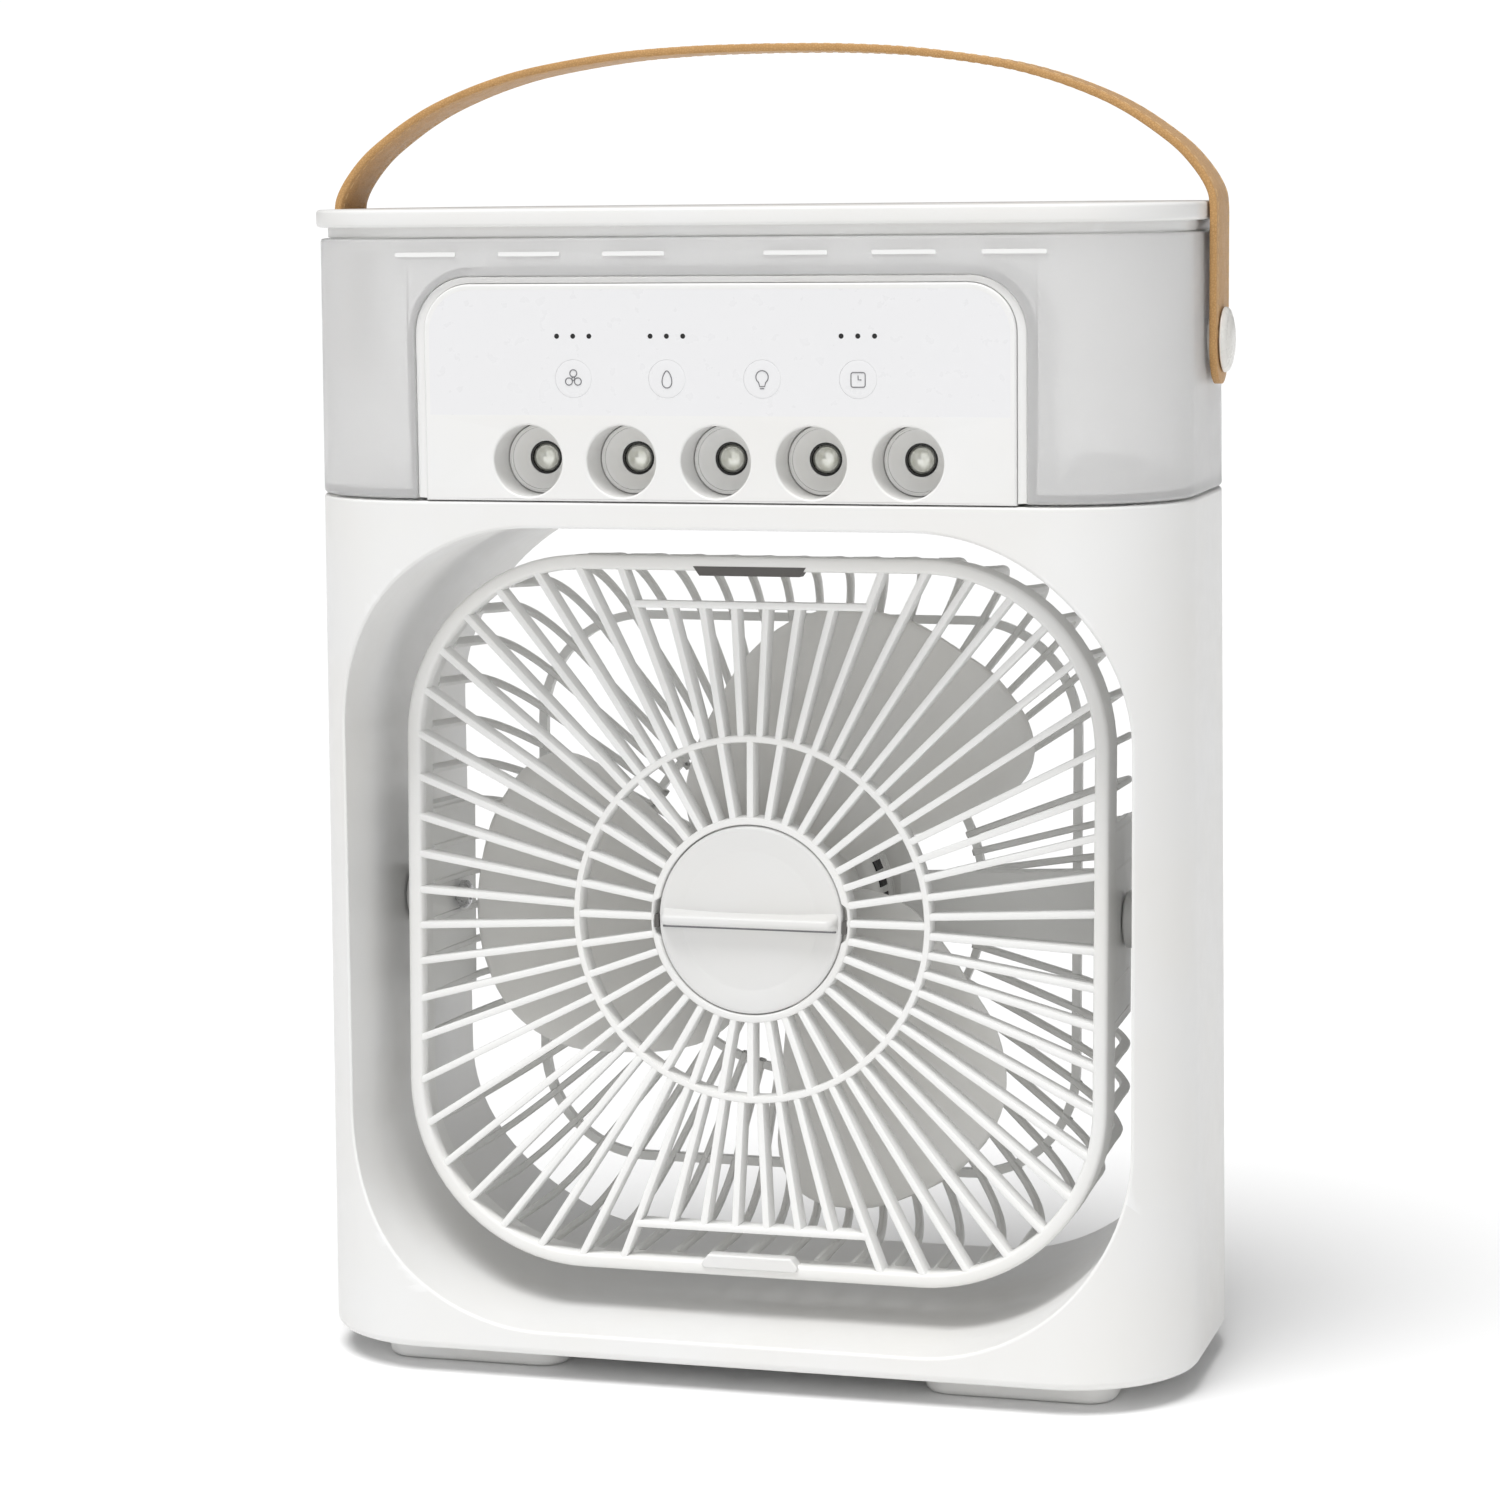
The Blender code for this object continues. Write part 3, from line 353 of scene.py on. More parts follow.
def piece(name, solid, mat, body, stands_for=(), bevel=0.0, segments=2, smooth=38):
    """A visible piece: its mesh, material and body, with rounded edges where bevel is given.
    A piece of the head leans back with it."""
    mesh = as_mesh(name, solid)
    mesh.name = name
    mesh.set_sharp_from_angle(angle=math.radians(smooth))
    obj = placed(name, mesh)
    mesh.materials.clear()
    mesh.materials.append(M[mat])
    if body in HEAD_BODIES:
        pivot = Vector((0, 0, HEAD_Z * MM))
        lean = Matrix.Rotation(-HEAD_LEAN, 4, "X")
        mesh.transform(Matrix.Translation(pivot) @ lean @ Matrix.Translation(-pivot))
    if bevel:
        mod = obj.modifiers.new("edges", "BEVEL")
        mod.width = bevel * MM
        mod.segments = segments
        mod.limit_method = "ANGLE"
        mod.angle_limit = math.radians(40)
        even_faces(obj, 80)
    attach(obj, body)
    if stands_for:
        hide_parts(*([stands_for] if isinstance(stands_for, str) else stands_for))
    return obj


def plate(outlines, y0, y1, round_edge=0.0, steps=3):
    """A flat plate facing -Y, filled between its outline and its holes, both edges rounded."""
    data = bpy.data.curves.new("outline", "CURVE")
    data.dimensions = "2D"
    data.fill_mode = "BOTH"
    data.bevel_depth = round_edge * MM
    data.bevel_resolution = steps - 1
    data.offset = -round_edge * MM
    data.extrude = ((y1 - y0) / 2 - round_edge) * MM
    for outline in outlines:
        spline = data.splines.new("POLY")
        spline.points.add(len(outline) - 1)
        for point, (x, z) in zip(spline.points, outline):
            point.co = (x * MM, z * MM, 0, 1)
        spline.use_cyclic_u = True
    guide = placed("outline", data)
    mesh = evaluated(guide)
    mesh.transform(Matrix.Translation((0, (y0 + y1) / 2 * MM, 0)) @ Matrix.Rotation(math.pi / 2, 4, "X"))
    bpy.data.objects.remove(guide)
    bpy.data.curves.remove(data)
    face_outward(mesh, merge=1e-6)
    shade_smooth(mesh)
    return mesh


def slab(outlines, z0, z1, round_edge=0.0, steps=3):
    """A plate laid flat: its outlines in X and Y, its thickness along Z."""
    mesh = plate(outlines, -z1, -z0, round_edge, steps)
    mesh.transform(Matrix.Rotation(-math.pi / 2, 4, "X"))
    return mesh


def circle(x, z, r, n=40):
    return arc(x, z, r, 0, 360 - 360 / n, n - 1)


def join_meshes(name, *meshes):
    bm = bmesh.new()
    for mesh in meshes:
        bm.from_mesh(mesh)
    out = bpy.data.meshes.new(name)
    bm.to_mesh(out)
    bm.free()
    shade_smooth(out)
    return out


def tube(points, radius, cyclic=False, sides=8):
    """A round tube along points."""
    pts = [Vector(p) for p in points]
    count = len(pts)
    rings = []
    for i, p in enumerate(pts):
        a = pts[(i - 1) % count] if cyclic or i else p
        b = pts[(i + 1) % count] if cyclic or i < count - 1 else p
        along = (b - a).normalized()
        side = along.cross(Vector((0, 1, 0)))
        side = side.normalized() if side.length > 1e-6 else Vector((1, 0, 0))
        up = along.cross(side)
        rings.append([p + (side * math.cos(t) + up * math.sin(t)) * radius
                      for t in [2 * math.pi * k / sides for k in range(sides)]])
    return loft(rings, caps=not cyclic, closed=cyclic)


def carve(mesh, *cutters):
    """The mesh with cutters taken away, by exact Booleans."""
    obj = placed("carved", mesh)
    tools = [placed("cutter", as_mesh("cutter", cutter)) for cutter in cutters]
    for tool in tools:
        mod = obj.modifiers.new("cut", "BOOLEAN")
        mod.operation, mod.solver, mod.object = "DIFFERENCE", "EXACT", tool
    bpy.context.view_layer.update()
    out = evaluated(obj)
    for used in (obj, *tools):
        bpy.data.objects.remove(used)
    return out


def keep_node(name, mat, bevel=0.0):
    """A CAD node that is shown as it is, with its finish."""
    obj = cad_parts[name]
    obj.data.materials.clear()
    obj.data.materials.append(M[mat])
    shade_smooth(obj.data)
    obj.data.set_sharp_from_angle(angle=math.radians(38))
    if bevel:
        mod = obj.modifiers.new("edges", "BEVEL")
        mod.width, mod.segments = bevel * MM, 2
        mod.limit_method, mod.angle_limit = "ANGLE", math.radians(40)
    return obj


# ---- body shell
def half_at(z):
    return HALF_W - TAPER * (z - BODY_Z0) / (BODY_Z1 - BODY_Z0)


class Wrap:
    """The front or back half of the body's outer wall, unrolled: s runs round it from the middle."""

    def __init__(self, radius, sign):
        self.r, self.sign = radius, sign
        self.flat = HALF_W - radius
        self.bend = self.flat + radius * math.pi / 2
        self.end = self.bend + FACE_Y - radius

    def columns(self, n=22):
        right = [self.flat + self.r * math.pi / 2 * k / n for k in range(n + 1)]
        return sorted([-s for s in right] + right)

    def s_of(self, x, z):
        flat = half_at(z) - self.r
        if abs(x) <= flat:
            return x * self.flat / flat
        return math.copysign(self.flat + self.r * math.asin(min(1, (abs(x) - flat) / self.r)), x)

    def point(self, s, z, inset=0.0):
        """The surface point and its outward normal."""
        half, side = half_at(z), math.copysign(1, s)
        a = abs(s)
        if a <= self.flat:
            x, y, n = s * (half - self.r) / self.flat, -FACE_Y, (0, -1)
        elif a <= self.bend:
            t = (a - self.flat) / self.r
            x, y = side * (half - self.r + self.r * math.sin(t)), -FACE_Y + self.r * (1 - math.cos(t))
            n = (side * math.sin(t), -math.cos(t))
        else:
            x, y, n = side * half, -FACE_Y + self.r + a - self.bend, (side, 0)
        x, y = x - n[0] * inset, y - n[1] * inset
        return Vector((x, self.sign * y, z)), Vector((n[0], self.sign * n[1], 0))


def build_shell():
    halves = (Wrap(R_FRONT, 1), Wrap(R_BACK, -1))
    edge, lip = 0.9, 0.7

    def opening(offset, draft):
        h = TUNNEL_HALF + offset - draft
        z0, z1, r = TUNNEL_Z0 - offset + draft, TUNNEL_Z1 + offset - draft, TUNNEL_R + offset - draft
        return round_rect(-h, z0, h, z1, r, 26)

    drafts = (0.0, TUNNEL_DRAFT)
    outer = [opening(edge, d) for d in drafts]
    inner = [opening(0.0, d) for d in drafts]
    loops = [[], []]
    count = len(outer[0])
    for i in range(count):
        j = (i + 1) % count
        cuts = {0.0}
        for wrap, line in zip(halves, outer):
            s0, s1 = wrap.s_of(*line[i]), wrap.s_of(*line[j])
            for c in wrap.columns():
                if abs(s1 - s0) > 1e-9 and 0.02 < (c - s0) / (s1 - s0) < 0.98:
                    cuts.add((c - s0) / (s1 - s0))
        for t in sorted(cuts):
            for k in (0, 1):
                loops[k].append([[a + (b - a) * t for a, b in zip(line[k][i], line[k][j])]
                                 for line in (outer, inner)])

    verts, faces, normals = [], [], []

    def put(point, normal):
        verts.append(tuple(point))
        normals.append(Vector(normal).normalized())
        return len(verts) - 1

    wall_rows = []
    for k, wrap in enumerate(halves):
        z0, z1 = BODY_Z0 + 2.2, BODY_Z1 - lip
        hole = [Vector((wrap.s_of(*p[0]), p[0][1], 0)) for p in loops[k]]
        end = wrap.end
        frame_line = [Vector((s, z, 0)) for s, z in ((-end, z0), (end, z0), (end, z1), (-end, z1))]
        flat_verts = frame_line + hole
        bm = bmesh.new()
        made = [bm.verts.new((v.x, v.y, 0)) for v in flat_verts]
        for tri in tessellate_polygon([frame_line, hole]):
            bm.faces.new([made[i] for i in tri])
        for c in wrap.columns():
            bmesh.ops.bisect_plane(bm, geom=bm.verts[:] + bm.edges[:] + bm.faces[:], dist=1e-4,
                                   plane_co=(c, 0, 0), plane_no=(1, 0, 0))
        bm.verts.index_update()
        first = len(verts)
        for v in bm.verts:
            put(*wrap.point(v.co.x, v.co.y))
        for f in bm.faces:
            order = [first + v.index for v in f.verts]
            a, b, c = (Vector(verts[i]) for i in order[:3])
            if (b - a).cross(c - a).dot(normals[order[0]] + normals[order[1]] + normals[order[2]]) < 0:
                order.reverse()
            faces.append(order)
        bm.free()
        rows = []
        for p_out, p_in in loops[k]:
            (a, na), (c, _) = wrap.point(wrap.s_of(*p_out), p_out[1]), wrap.point(wrap.s_of(*p_in), p_in[1])
            b = c + Vector((0, wrap.sign * edge, 0))
            out = Vector((p_in[0] - p_out[0], 0, p_in[1] - p_out[1])).normalized()
            line = []
            for step in range(6):
                t = step / 5
                turn = na.slerp(out, t) if na.dot(out) > -0.99 else out
                line.append(put(a * (1 - t) ** 2 + c * 2 * t * (1 - t) + b * t * t, turn))
            rows.append(line)
        for i, line in enumerate(rows):
            after = rows[(i + 1) % len(rows)]
            for step in range(5):
                faces.append([line[step], after[step], after[step + 1], line[step + 1]])
        wall_rows.append([line[-1] for line in rows])
    total = len(wall_rows[0])
    for i in range(total):
        j = (i + 1) % total
        faces.append([wall_rows[0][i], wall_rows[0][j], wall_rows[1][j], wall_rows[1][i]])

    def ring_at(z, inset):
        """The whole outline at a height, from both halves."""
        line = []
        for wrap in halves:
            cols = [-wrap.end] + wrap.columns() + [wrap.end]
            pts = [wrap.point(s, z, inset) for s in cols]
            line += (pts if wrap.sign > 0 else pts[::-1])[:-1]
        return line

    def strip(profile):
        rows = []
        for z, inset, lean in profile:
            upward = Vector((0, 0, math.sin(lean)))
            rows.append([put(p, n * math.cos(lean) + upward) for p, n in ring_at(z, inset)])
        for a, b in zip(rows, rows[1:]):
            for i in range(len(a)):
                j = (i + 1) % len(a)
                faces.append([a[i], a[j], b[j], b[i]])

    down, up = [], []
    for k in range(6):
        t = math.pi / 2 * k / 5
        down.append((BODY_Z0 + 2.2 - 2.2 * math.sin(t), 2.2 * (1 - math.cos(t)), -t))
        up.append((BODY_Z1 - lip + lip * math.sin(t), lip * (1 - math.cos(t)), t))
    flat = math.pi / 2
    strip(down + [(BODY_Z0, 3.4, -flat)])
    strip([(BODY_Z0, 3.4, -flat), (BODY_Z0 + 3.0, 3.5, -flat)])
    strip(up + [(BODY_Z1, 3.0, flat)])
    strip([(BODY_Z1, 3.0, flat), (BODY_Z1 - 3.0, 3.1, flat)])
    mesh = make_mesh("shell", (verts, faces), outward=False)
    piece("shell", mesh, "shell", "base", "body_shell", smooth=180)
    bm = bmesh.new()
    bm.from_mesh(mesh)
    for f in bm.faces:
        want = sum((normals[v.index] for v in f.verts), Vector())
        if f.normal.dot(want) < 0:
            f.normal_flip()
    bm.to_mesh(mesh)
    bm.free()
    mesh.normals_split_custom_set_from_vertices([tuple(n) for n in normals])


def build_base():
    build_shell()
    keep_node("base_plate", "shell")
    keep_node("top_deck", "shell")
    for node, sx, sy in (("foot_front_left", -1, -1), ("foot_front_right", 1, -1),
                         ("foot_rear_left", -1, 1), ("foot_rear_right", 1, 1)):
        cx, cy = sx * 69.0, sy * 29.0
        pad = stack([(z, round_rect(cx - 23.5 + d, cy - 12 + d, cx + 23.5 - d, cy + 12 - d, 7 - d, 8))
                     for z, d in ((0.0, 1.6), (0.25, 0.9), (0.8, 0.25), (1.6, 0.0), (4.6, 0.0), (5.7, 0.0))])
        piece(node + "_pad", pad, "pad", "base", node, smooth=60)
    keep_node("power_inlet", "steel", 0.2)
    tongue = loft([[(x, y, z) for x, z in round_rect(67, 10.45, 73, 11.15, 0.2, 3)] for y in (45.6, 50.6)])
    piece("inlet_tongue", tongue, "hole_shade_and_black", "base", smooth=40)
    for cx, cy in ((-88, -30), (88, -30), (-88, 30), (88, 30), (0, -42), (0, 42)):
        screw = turned([(0, 5.0), (1.3, 5.2), (2.3, 5.4), (2.6, 5.95), (0, 5.95)], (0, 0, 1), (cx, cy, 0), 24)
        side = "l" if cx < 0 else "r" if cx else "m"
        piece(f"base_screw_{side}{'f' if cy < 0 else 'b'}", screw, "steel", "base")


# ---- console
def front_turned(profile, x, z, steps):
    """A solid turned about a line through the front face, its distances measured back from the face."""
    return turned(profile, (0, 1, 0), (x, -FACE_Y, z), steps)


def build_console():
    front = -FACE_Y
    half, z0, z1, r = 72.1, 215.5, 266.8, 11.5
    outline = arched(half, z0, z1, r)
    bores = [circle(x, NOZZLE_Z, NOZZLE_R, 56) for x in NOZZLE_XS]
    window = arched(70.3, 236.3, 265.0, 9.9, 14)
    wells = [circle(x, BUTTON_Z, 5.5, 40) for x in BUTTON_X]
    slots = [round_rect(x - 5.4, LED_Z - 1.0, x + 5.4, LED_Z + 1.0, 0, 0) for x in LED_X]
    housing = plate([outline, window] + bores, front, -29.0, 0.55, 4)
    backing = plate([arched(71.3, 235.4, 265.9, 10.8, 10)] + wells + slots,
                    front + 1.25, front + 2.4)
    even_faces(piece("console_housing", join_meshes("console_housing", housing, backing), "console", "base",
                     "console", smooth=30))
    rim, inner = arched(74.4, 216.0, 268.5, 13.5), arched(half + 0.1, 215.9, z1 + 0.1, r + 0.1)
    arch = rim[1:] + [rim[0], inner[0]] + inner[:0:-1]
    trim = plate([arch], front + 0.9, front + 3.0, 0.2, 2)
    even_faces(piece("bay_trim", trim, "console", "base", smooth=30))
    gaps = [circle(x, BUTTON_Z, BUTTON_R + 0.02, 48) for x in BUTTON_X]
    led_spots = [x + k * LED_PITCH for x in LED_X for k in (-1, 0, 1)]
    pins = [circle(x, LED_Z, 0.62, 16) for x in led_spots]
    film = round_rect(-70.9, 235.7, 70.9, 265.6, [0.1, 0.1, 10.5, 10.5], 14)
    cover = plate([film] + gaps + pins, front + 0.02, front + 1.15, 0.03, 2)
    even_faces(piece("overlay", cover, "overlay", "base", "panel_overlay", smooth=10))
    # Painted shade: black discs just inside the overlay's pin holes make the LED holes read dark.
    hole_shade_and_black = [(0, 0.12), (0.6, 0.12), (0.6, 0.28), (0, 0.28)]
    led_hole_shade_discs = [front_turned(hole_shade_and_black, x, LED_Z, 16) for x in led_spots]
    piece("led_hole_shade", merged(*led_hole_shade_discs), "hole_shade_and_black", "base")
    keep_node("control_pcb", "pcb")
    keep_node("mist_manifold", "valve")

    cap = [(0, 0.04), (3.2, 0.03), (4.3, 0.03), (4.45, 0.05), (BUTTON_R, 0.1), (BUTTON_R, 2.7),
           (5.3, 2.7), (5.3, 3.5), (0, 3.5)]
    for node, x in zip(("button_fan", "button_mist", "button_light", "button_timer"), BUTTON_X):
        piece(node + "_cap", front_turned(cap, x, BUTTON_Z, 48), "button", node + "_body", node)
    build_icons(front)

    ledge = [(8.35, 10.9), (8.2, 10.6), (7.7, 10.5), (7.45, 10.75), (7.45, 11.4), (7.9, 15.2), (8.35, 15.2)]
    cone = [(7.4, 11.2), (6.6, 11.8), (5.1, 12.9), (4.0, 13.7), (4.0, 15.1), (4.8, 15.1), (7.6, 12.2)]
    band = [(3.4, 14.0), (3.5, 13.75), (3.8, 13.7), (3.92, 13.85), (3.92, 16.6), (3.4, 16.6)]
    dome = [(0, 13.2), (1.0, 13.28), (2.1, 13.58), (3.0, 14.05), (3.36, 14.5), (3.36, 16.4), (0, 16.4)]
    for i, x in enumerate(NOZZLE_XS, 1):
        for name, mat, profile, steps, node in (("nozzle_ledge", "nozzle", ledge, 56, "nozzle"),
                                                ("nozzle_funnel", "funnel", cone, 56, None),
                                                ("mister_ring", "ring", band, 48, "mister"),
                                                ("mister_lens", "glass", dome, 36, None)):
            solid = front_turned(profile, x, NOZZLE_Z, steps)
            piece(f"{name}_{i}", solid, mat, "base", f"{node}_{i}" if node else ())


def build_icons(front):
    """Thin outline symbols on the four buttons: fan, drop, bulb and timer."""
    y, line_radius = front + 0.03, 0.13

    def icon(name, *strokes):
        """An icon of (points, joined end to end or not) strokes."""
        solids = [tube([(x, y, z) for x, z in points], line_radius, joined, 6) for points, joined in strokes]
        piece("icon_" + name, merged(*solids), "ink_and_painted_shadow", f"button_{name}_body")

    x = BUTTON_X[0]
    lobes = []
    for k in range(3):
        dx, dz = polar(1.28, 90 + 120 * k)
        lobes.append((circle(x + dx, BUTTON_Z + dz, 0.86, 20), True))
    icon("fan", *lobes, (circle(x, BUTTON_Z, 0.38, 12), True))
    x = BUTTON_X[1]
    drop = []
    for k in range(28):
        t = 2 * math.pi * k / 28
        wide = 0.55 + 0.45 * (1 - math.cos(t)) / 2
        drop.append((x + 1.5 * math.sin(t) * wide, BUTTON_Z - 0.1 + 2.0 * math.cos(t)))
    icon("mist", (drop, True))
    x = BUTTON_X[2]
    bulb = arc(x, BUTTON_Z + 0.5, 1.5, -55, 235, 24) + [(x - 0.6, BUTTON_Z - 1.7), (x + 0.6, BUTTON_Z - 1.7)]
    icon("light", (bulb, True), ([(x - 0.5, BUTTON_Z - 2.2), (x + 0.5, BUTTON_Z - 2.2)], False))
    x = BUTTON_X[3]
    clock = round_rect(x - 1.7, BUTTON_Z - 1.8, x + 1.7, BUTTON_Z + 1.6, 0.5, 4)
    hands = [(x, BUTTON_Z + 0.9), (x, BUTTON_Z - 0.1), (x + 0.8, BUTTON_Z - 0.1)]
    icon("timer", (clock, True), (hands, False))


# ---- tank, lid, handle
def plan(inset, half, n=22):
    hw, rf, rb = half - inset, R_FRONT - inset, R_BACK - inset
    y0, y1 = -FACE_Y + inset, FACE_Y - inset
    return (arc(hw - rf, y0 + rf, rf, -90, 0, n) + arc(hw - rb, y1 - rb, rb, 0, 90, n)
            + arc(rb - hw, y1 - rb, rb, 90, 180, n) + arc(rf - hw, y0 + rf, rf, 180, 270, n))


def body_loft(profile, n=22):
    """Profile of (height, inset) round the body's plan."""
    return stack([(z, plan(inset, half_at(z), n)) for z, inset in profile])


def prism(outline, y0, y1):
    return loft([[(x, y, z) for x, z in outline] for y in (y0, y1)])


def build_tank():
    bay_half, bay_top, bay_back, bay_r, skin = 74.5, 268.6, -27.0, 13.6, 2.0
    profile = [(TANK_Z0, 0.5), (TANK_Z0 + 0.5, 0), (TANK_Z1 - 0.4, 0), (TANK_Z1, 0.4)]
    outer = make_mesh("tank", body_loft(profile))
    inside = make_mesh("inside", body_loft([(TANK_Z0 + 2.0, 2.6), (TANK_Z0 + 2.8, 2.0), (300, 2.0)]))
    wall = arched(bay_half + skin, 205, bay_top + skin, bay_r + skin)
    inside = carve(inside, prism(wall, -70, bay_back + skin))
    mesh = carve(outer, inside, prism(arched(bay_half, 205, bay_top, bay_r), -70, bay_back))
    piece("tank_shell", mesh, "frosted", "base", "water_tank", bevel=0.35, smooth=30)
    tabs = []
    for x0 in (-78.8, -52.8, -27.0, 12.4, 38.2, 64.2):
        tabs.append(prism(round_rect(x0, 273.3, x0 + 15.2, 274.3, 0.3, 4), -FACE_Y - 0.3, -FACE_Y + 0.6))
    piece("tank_tabs", merged(*tabs), "lid", "base", smooth=40)
    block = [round_rect(80.5 + d, -35 + d, 95.5 - d, -21 - d, 3, 8) for d in (0.0, 0.0, 0.6)]
    solid = stack(zip((TANK_Z0 + 2.3, 224.9, 225.6), block))
    piece("valve_block", solid, "valve", "base", "tank_valve")


def build_lid():
    def outline(side, ends):
        half = half_at(TANK_Z1) + side
        return [(x, y * (FACE_Y + ends) / FACE_Y) for x, y in plan(0.0, half)]

    pocket = round_rect(-55.3, -46.3, 55.3, -17.7, 1.0, 4)
    mouth = round_rect(-52, -43, 52, -22, 3.0, 6)
    top = slab([outline(0.8, 1.0), pocket], LID_Z0, LID_Z1, 0.9, 5)
    floor = slab([outline(-0.6, -0.4), mouth], LID_Z0 + 0.3, LID_Z1 - 1.5)
    step = slab([outline(-1.6, -1.6), mouth], TANK_Z1 + 0.3, LID_Z0 + 0.6, 0.2, 2)
    skirt_lines = [plan(inset, half_at(275)) for inset in (2.4, 4.0)]
    skirt = slab(skirt_lines, 274.6, LID_Z0 + 0.6, 0.2, 2)
    piece("lid_shell", join_meshes("lid_shell", top, floor, step, skirt), "lid", "base", "lid", smooth=30)
    flap = slab([round_rect(-55, -46, 55, -18, 0.8, 4)], LID_Z1 - 1.2, LID_Z1, 0.35, 3)
    grip_line = round_rect(-9, -44.6, 9, -43.4, 0.55, 4)
    grip = slab([grip_line], LID_Z1 - 0.6, LID_Z1 - 0.05, 0.1, 2)
    piece("flap_lid", join_meshes("flap_lid", flap, grip), "lid", "flap", "fill_flap", smooth=30)


def smooth_path(points, steps):
    """Catmull-Rom curve through points."""
    pts = [Vector(p) for p in points]
    ext = [pts[0] * 2 - pts[1]] + pts + [pts[-1] * 2 - pts[-2]]
    out = []
    for i in range(1, len(ext) - 2):
        p0, p1, p2, p3 = ext[i - 1:i + 3]
        for k in range(steps):
            t = k / steps
            out.append(0.5 * (2 * p1 + (p2 - p0) * t + (2 * p0 - 5 * p1 + 4 * p2 - p3) * t * t
                              + (3 * p1 - p0 - 3 * p2 + p3) * t ** 3))
    out.append(pts[-1])
    return out


def build_handle():
    knots = [(110.15, 246.0), (110.15, 262), (110.15, 276), (110.1, 283.5), (109.4, 287.3), (106.8, 291.8),
             (102.4, 296.9), (96.8, 301.4), (89.6, 306.2), (81.7, 310.2), (70.5, 314.4), (57.6, 317.7),
             (37.4, 320.7), (18.5, 321.95), (0, 322.25)]
    right = smooth_path([(x, 0, z) for x, z in knots], 6)
    centre = right + [Vector((-p.x, 0, p.z)) for p in right[-2::-1]]
    end_z = RIVET_Z - 10.5
    tips = [Vector((110.15, 0, end_z + d)) for d in (0.05, 0.3, 0.8, 1.6, 2.6, 3.6)]
    centre = tips + centre + [Vector((-p.x, 0, p.z)) for p in reversed(tips)]
    half_t, radius = 0.9, 9.0
    rows, frames = [], []
    for i, p in enumerate(centre):
        a, b = centre[max(i - 1, 0)], centre[min(i + 1, len(centre) - 1)]
        along = (b - a).normalized()
        out = Vector((along.z, 0, -along.x))
        from_end = p.z - end_z
        w = math.sqrt(max(0.0, radius ** 2 - (radius - from_end) ** 2)) if from_end < radius else radius
        e = min(0.42, w * 0.4)
        upper = [(w - e, half_t), (w - e * 0.4, half_t - e * 0.15), (w - e * 0.08, half_t - e * 0.55)]
        ring = upper + [(w, 0)] + [(u, -v) for u, v in reversed(upper)]
        ring += [(-u, v) for u, v in reversed(ring)]
        rows.append([p + out * v + Vector((0, u, 0)) for u, v in ring])
        frames.append((p, along, out))
    piece("strap", loft(rows), "leather", "handle", "handle_strap", smooth=45)
    stitches = []
    travelled, due = 0.0, 12.0
    for (p, along, out), (q, _, _) in zip(frames, frames[1:]):
        length = (q - p).length
        while due < travelled + length:
            at = p + (q - p) * ((due - travelled) / length)
            if at.z - end_z > 9.0:
                for side in (-1, 1):
                    for face in (1, -1):
                        mid = at + Vector((0, side * 7.1, 0)) + out * face * (half_t - 0.12)
                        line = [mid + along * u - out * face * sink
                                for u, sink in ((-1.0, 0.15), (-0.7, 0), (0.7, 0), (1.0, 0.15))]
                        stitches.append(tube(line, 0.24, False, 6))
            due += 3.0
        travelled += length
    piece("strap_stitches", merged(*stitches), "thread", "handle")
    cap = [(0, 108.3), (6, 108.3), (6, 108.95), (3, 108.95), (3, 111.3), (7.3, 111.3), (7.8, 111.6),
           (7.75, 112.1), (7.3, 112.6), (6.2, 113.05), (5.9, 113.0), (5.7, 113.15), (4.2, 113.55),
           (2.2, 113.75), (0, 113.8)]
    for name, s in (("rivet_right", 1), ("rivet_left", -1)):
        piece(name + "_head", turned(cap, (s, 0, 0), (0, 0, RIVET_Z), 48), "rivet", "base", name)


# ---- fan head
def polar(r, degrees):
    a = math.radians(degrees)
    return r * math.cos(a), r * math.sin(a)


def head_turned(profile, steps, axis=(0, 1, 0)):
    """A solid turned about the head's own axis, or about another line through its middle."""
    return turned(profile, axis, (0, 0, HEAD_Z), steps)


def head_prism(outline, y0, y1):
    """A prism on an outline measured from the head's axis."""
    return prism([(x, HEAD_Z + z) for x, z in outline], y0, y1)


def reach(degrees, half, r):
    """The (x, z) point where a ray from the centre meets a rounded square."""
    dx, dz = polar(1, degrees)
    low, high = 0.0, 2 * half
    for _ in range(40):
        mid = (low + high) / 2
        px, pz = abs(dx * mid) - (half - r), abs(dz * mid) - (half - r)
        outside = math.hypot(max(px, 0), max(pz, 0)) + min(max(px, pz), 0) - r
        low, high = (mid, high) if outside < 0 else (low, mid)
    return dx * low, dz * low


def square_ring(section, n=40):
    """A ring round the head's square, from (y, inset) points, its straight stretches cut to under 8 mm."""
    corner = round_rect(-HEAD_HALF, -HEAD_HALF, HEAD_HALF, HEAD_HALF, HEAD_R, n // 2)
    base = []
    for (x, z), (nx, nz) in zip(corner, corner[1:] + corner[:1]):
        steps = int(math.hypot(nx - x, nz - z) // 8) + 1
        base += [(x + (nx - x) * k / steps, z + (nz - z) * k / steps) for k in range(steps)]
    flat = HEAD_HALF - HEAD_R
    rows = []
    for x, z in base:
        cx, cz = max(-flat, min(flat, x)), max(-flat, min(flat, z))
        out = Vector((x - cx, z - cz)).normalized()
        rows.append([(x - out.x * inset, y, HEAD_Z + z - out.y * inset) for y, inset in section])
    return loft(rows, caps=False, closed=True)


def round_ring(section, n=96):
    rows = []
    for i in range(n):
        a = 2 * math.pi * i / n
        rows.append([(r * math.cos(a), y, HEAD_Z + r * math.sin(a)) for y, r in section])
    return loft(rows, caps=False, closed=True)


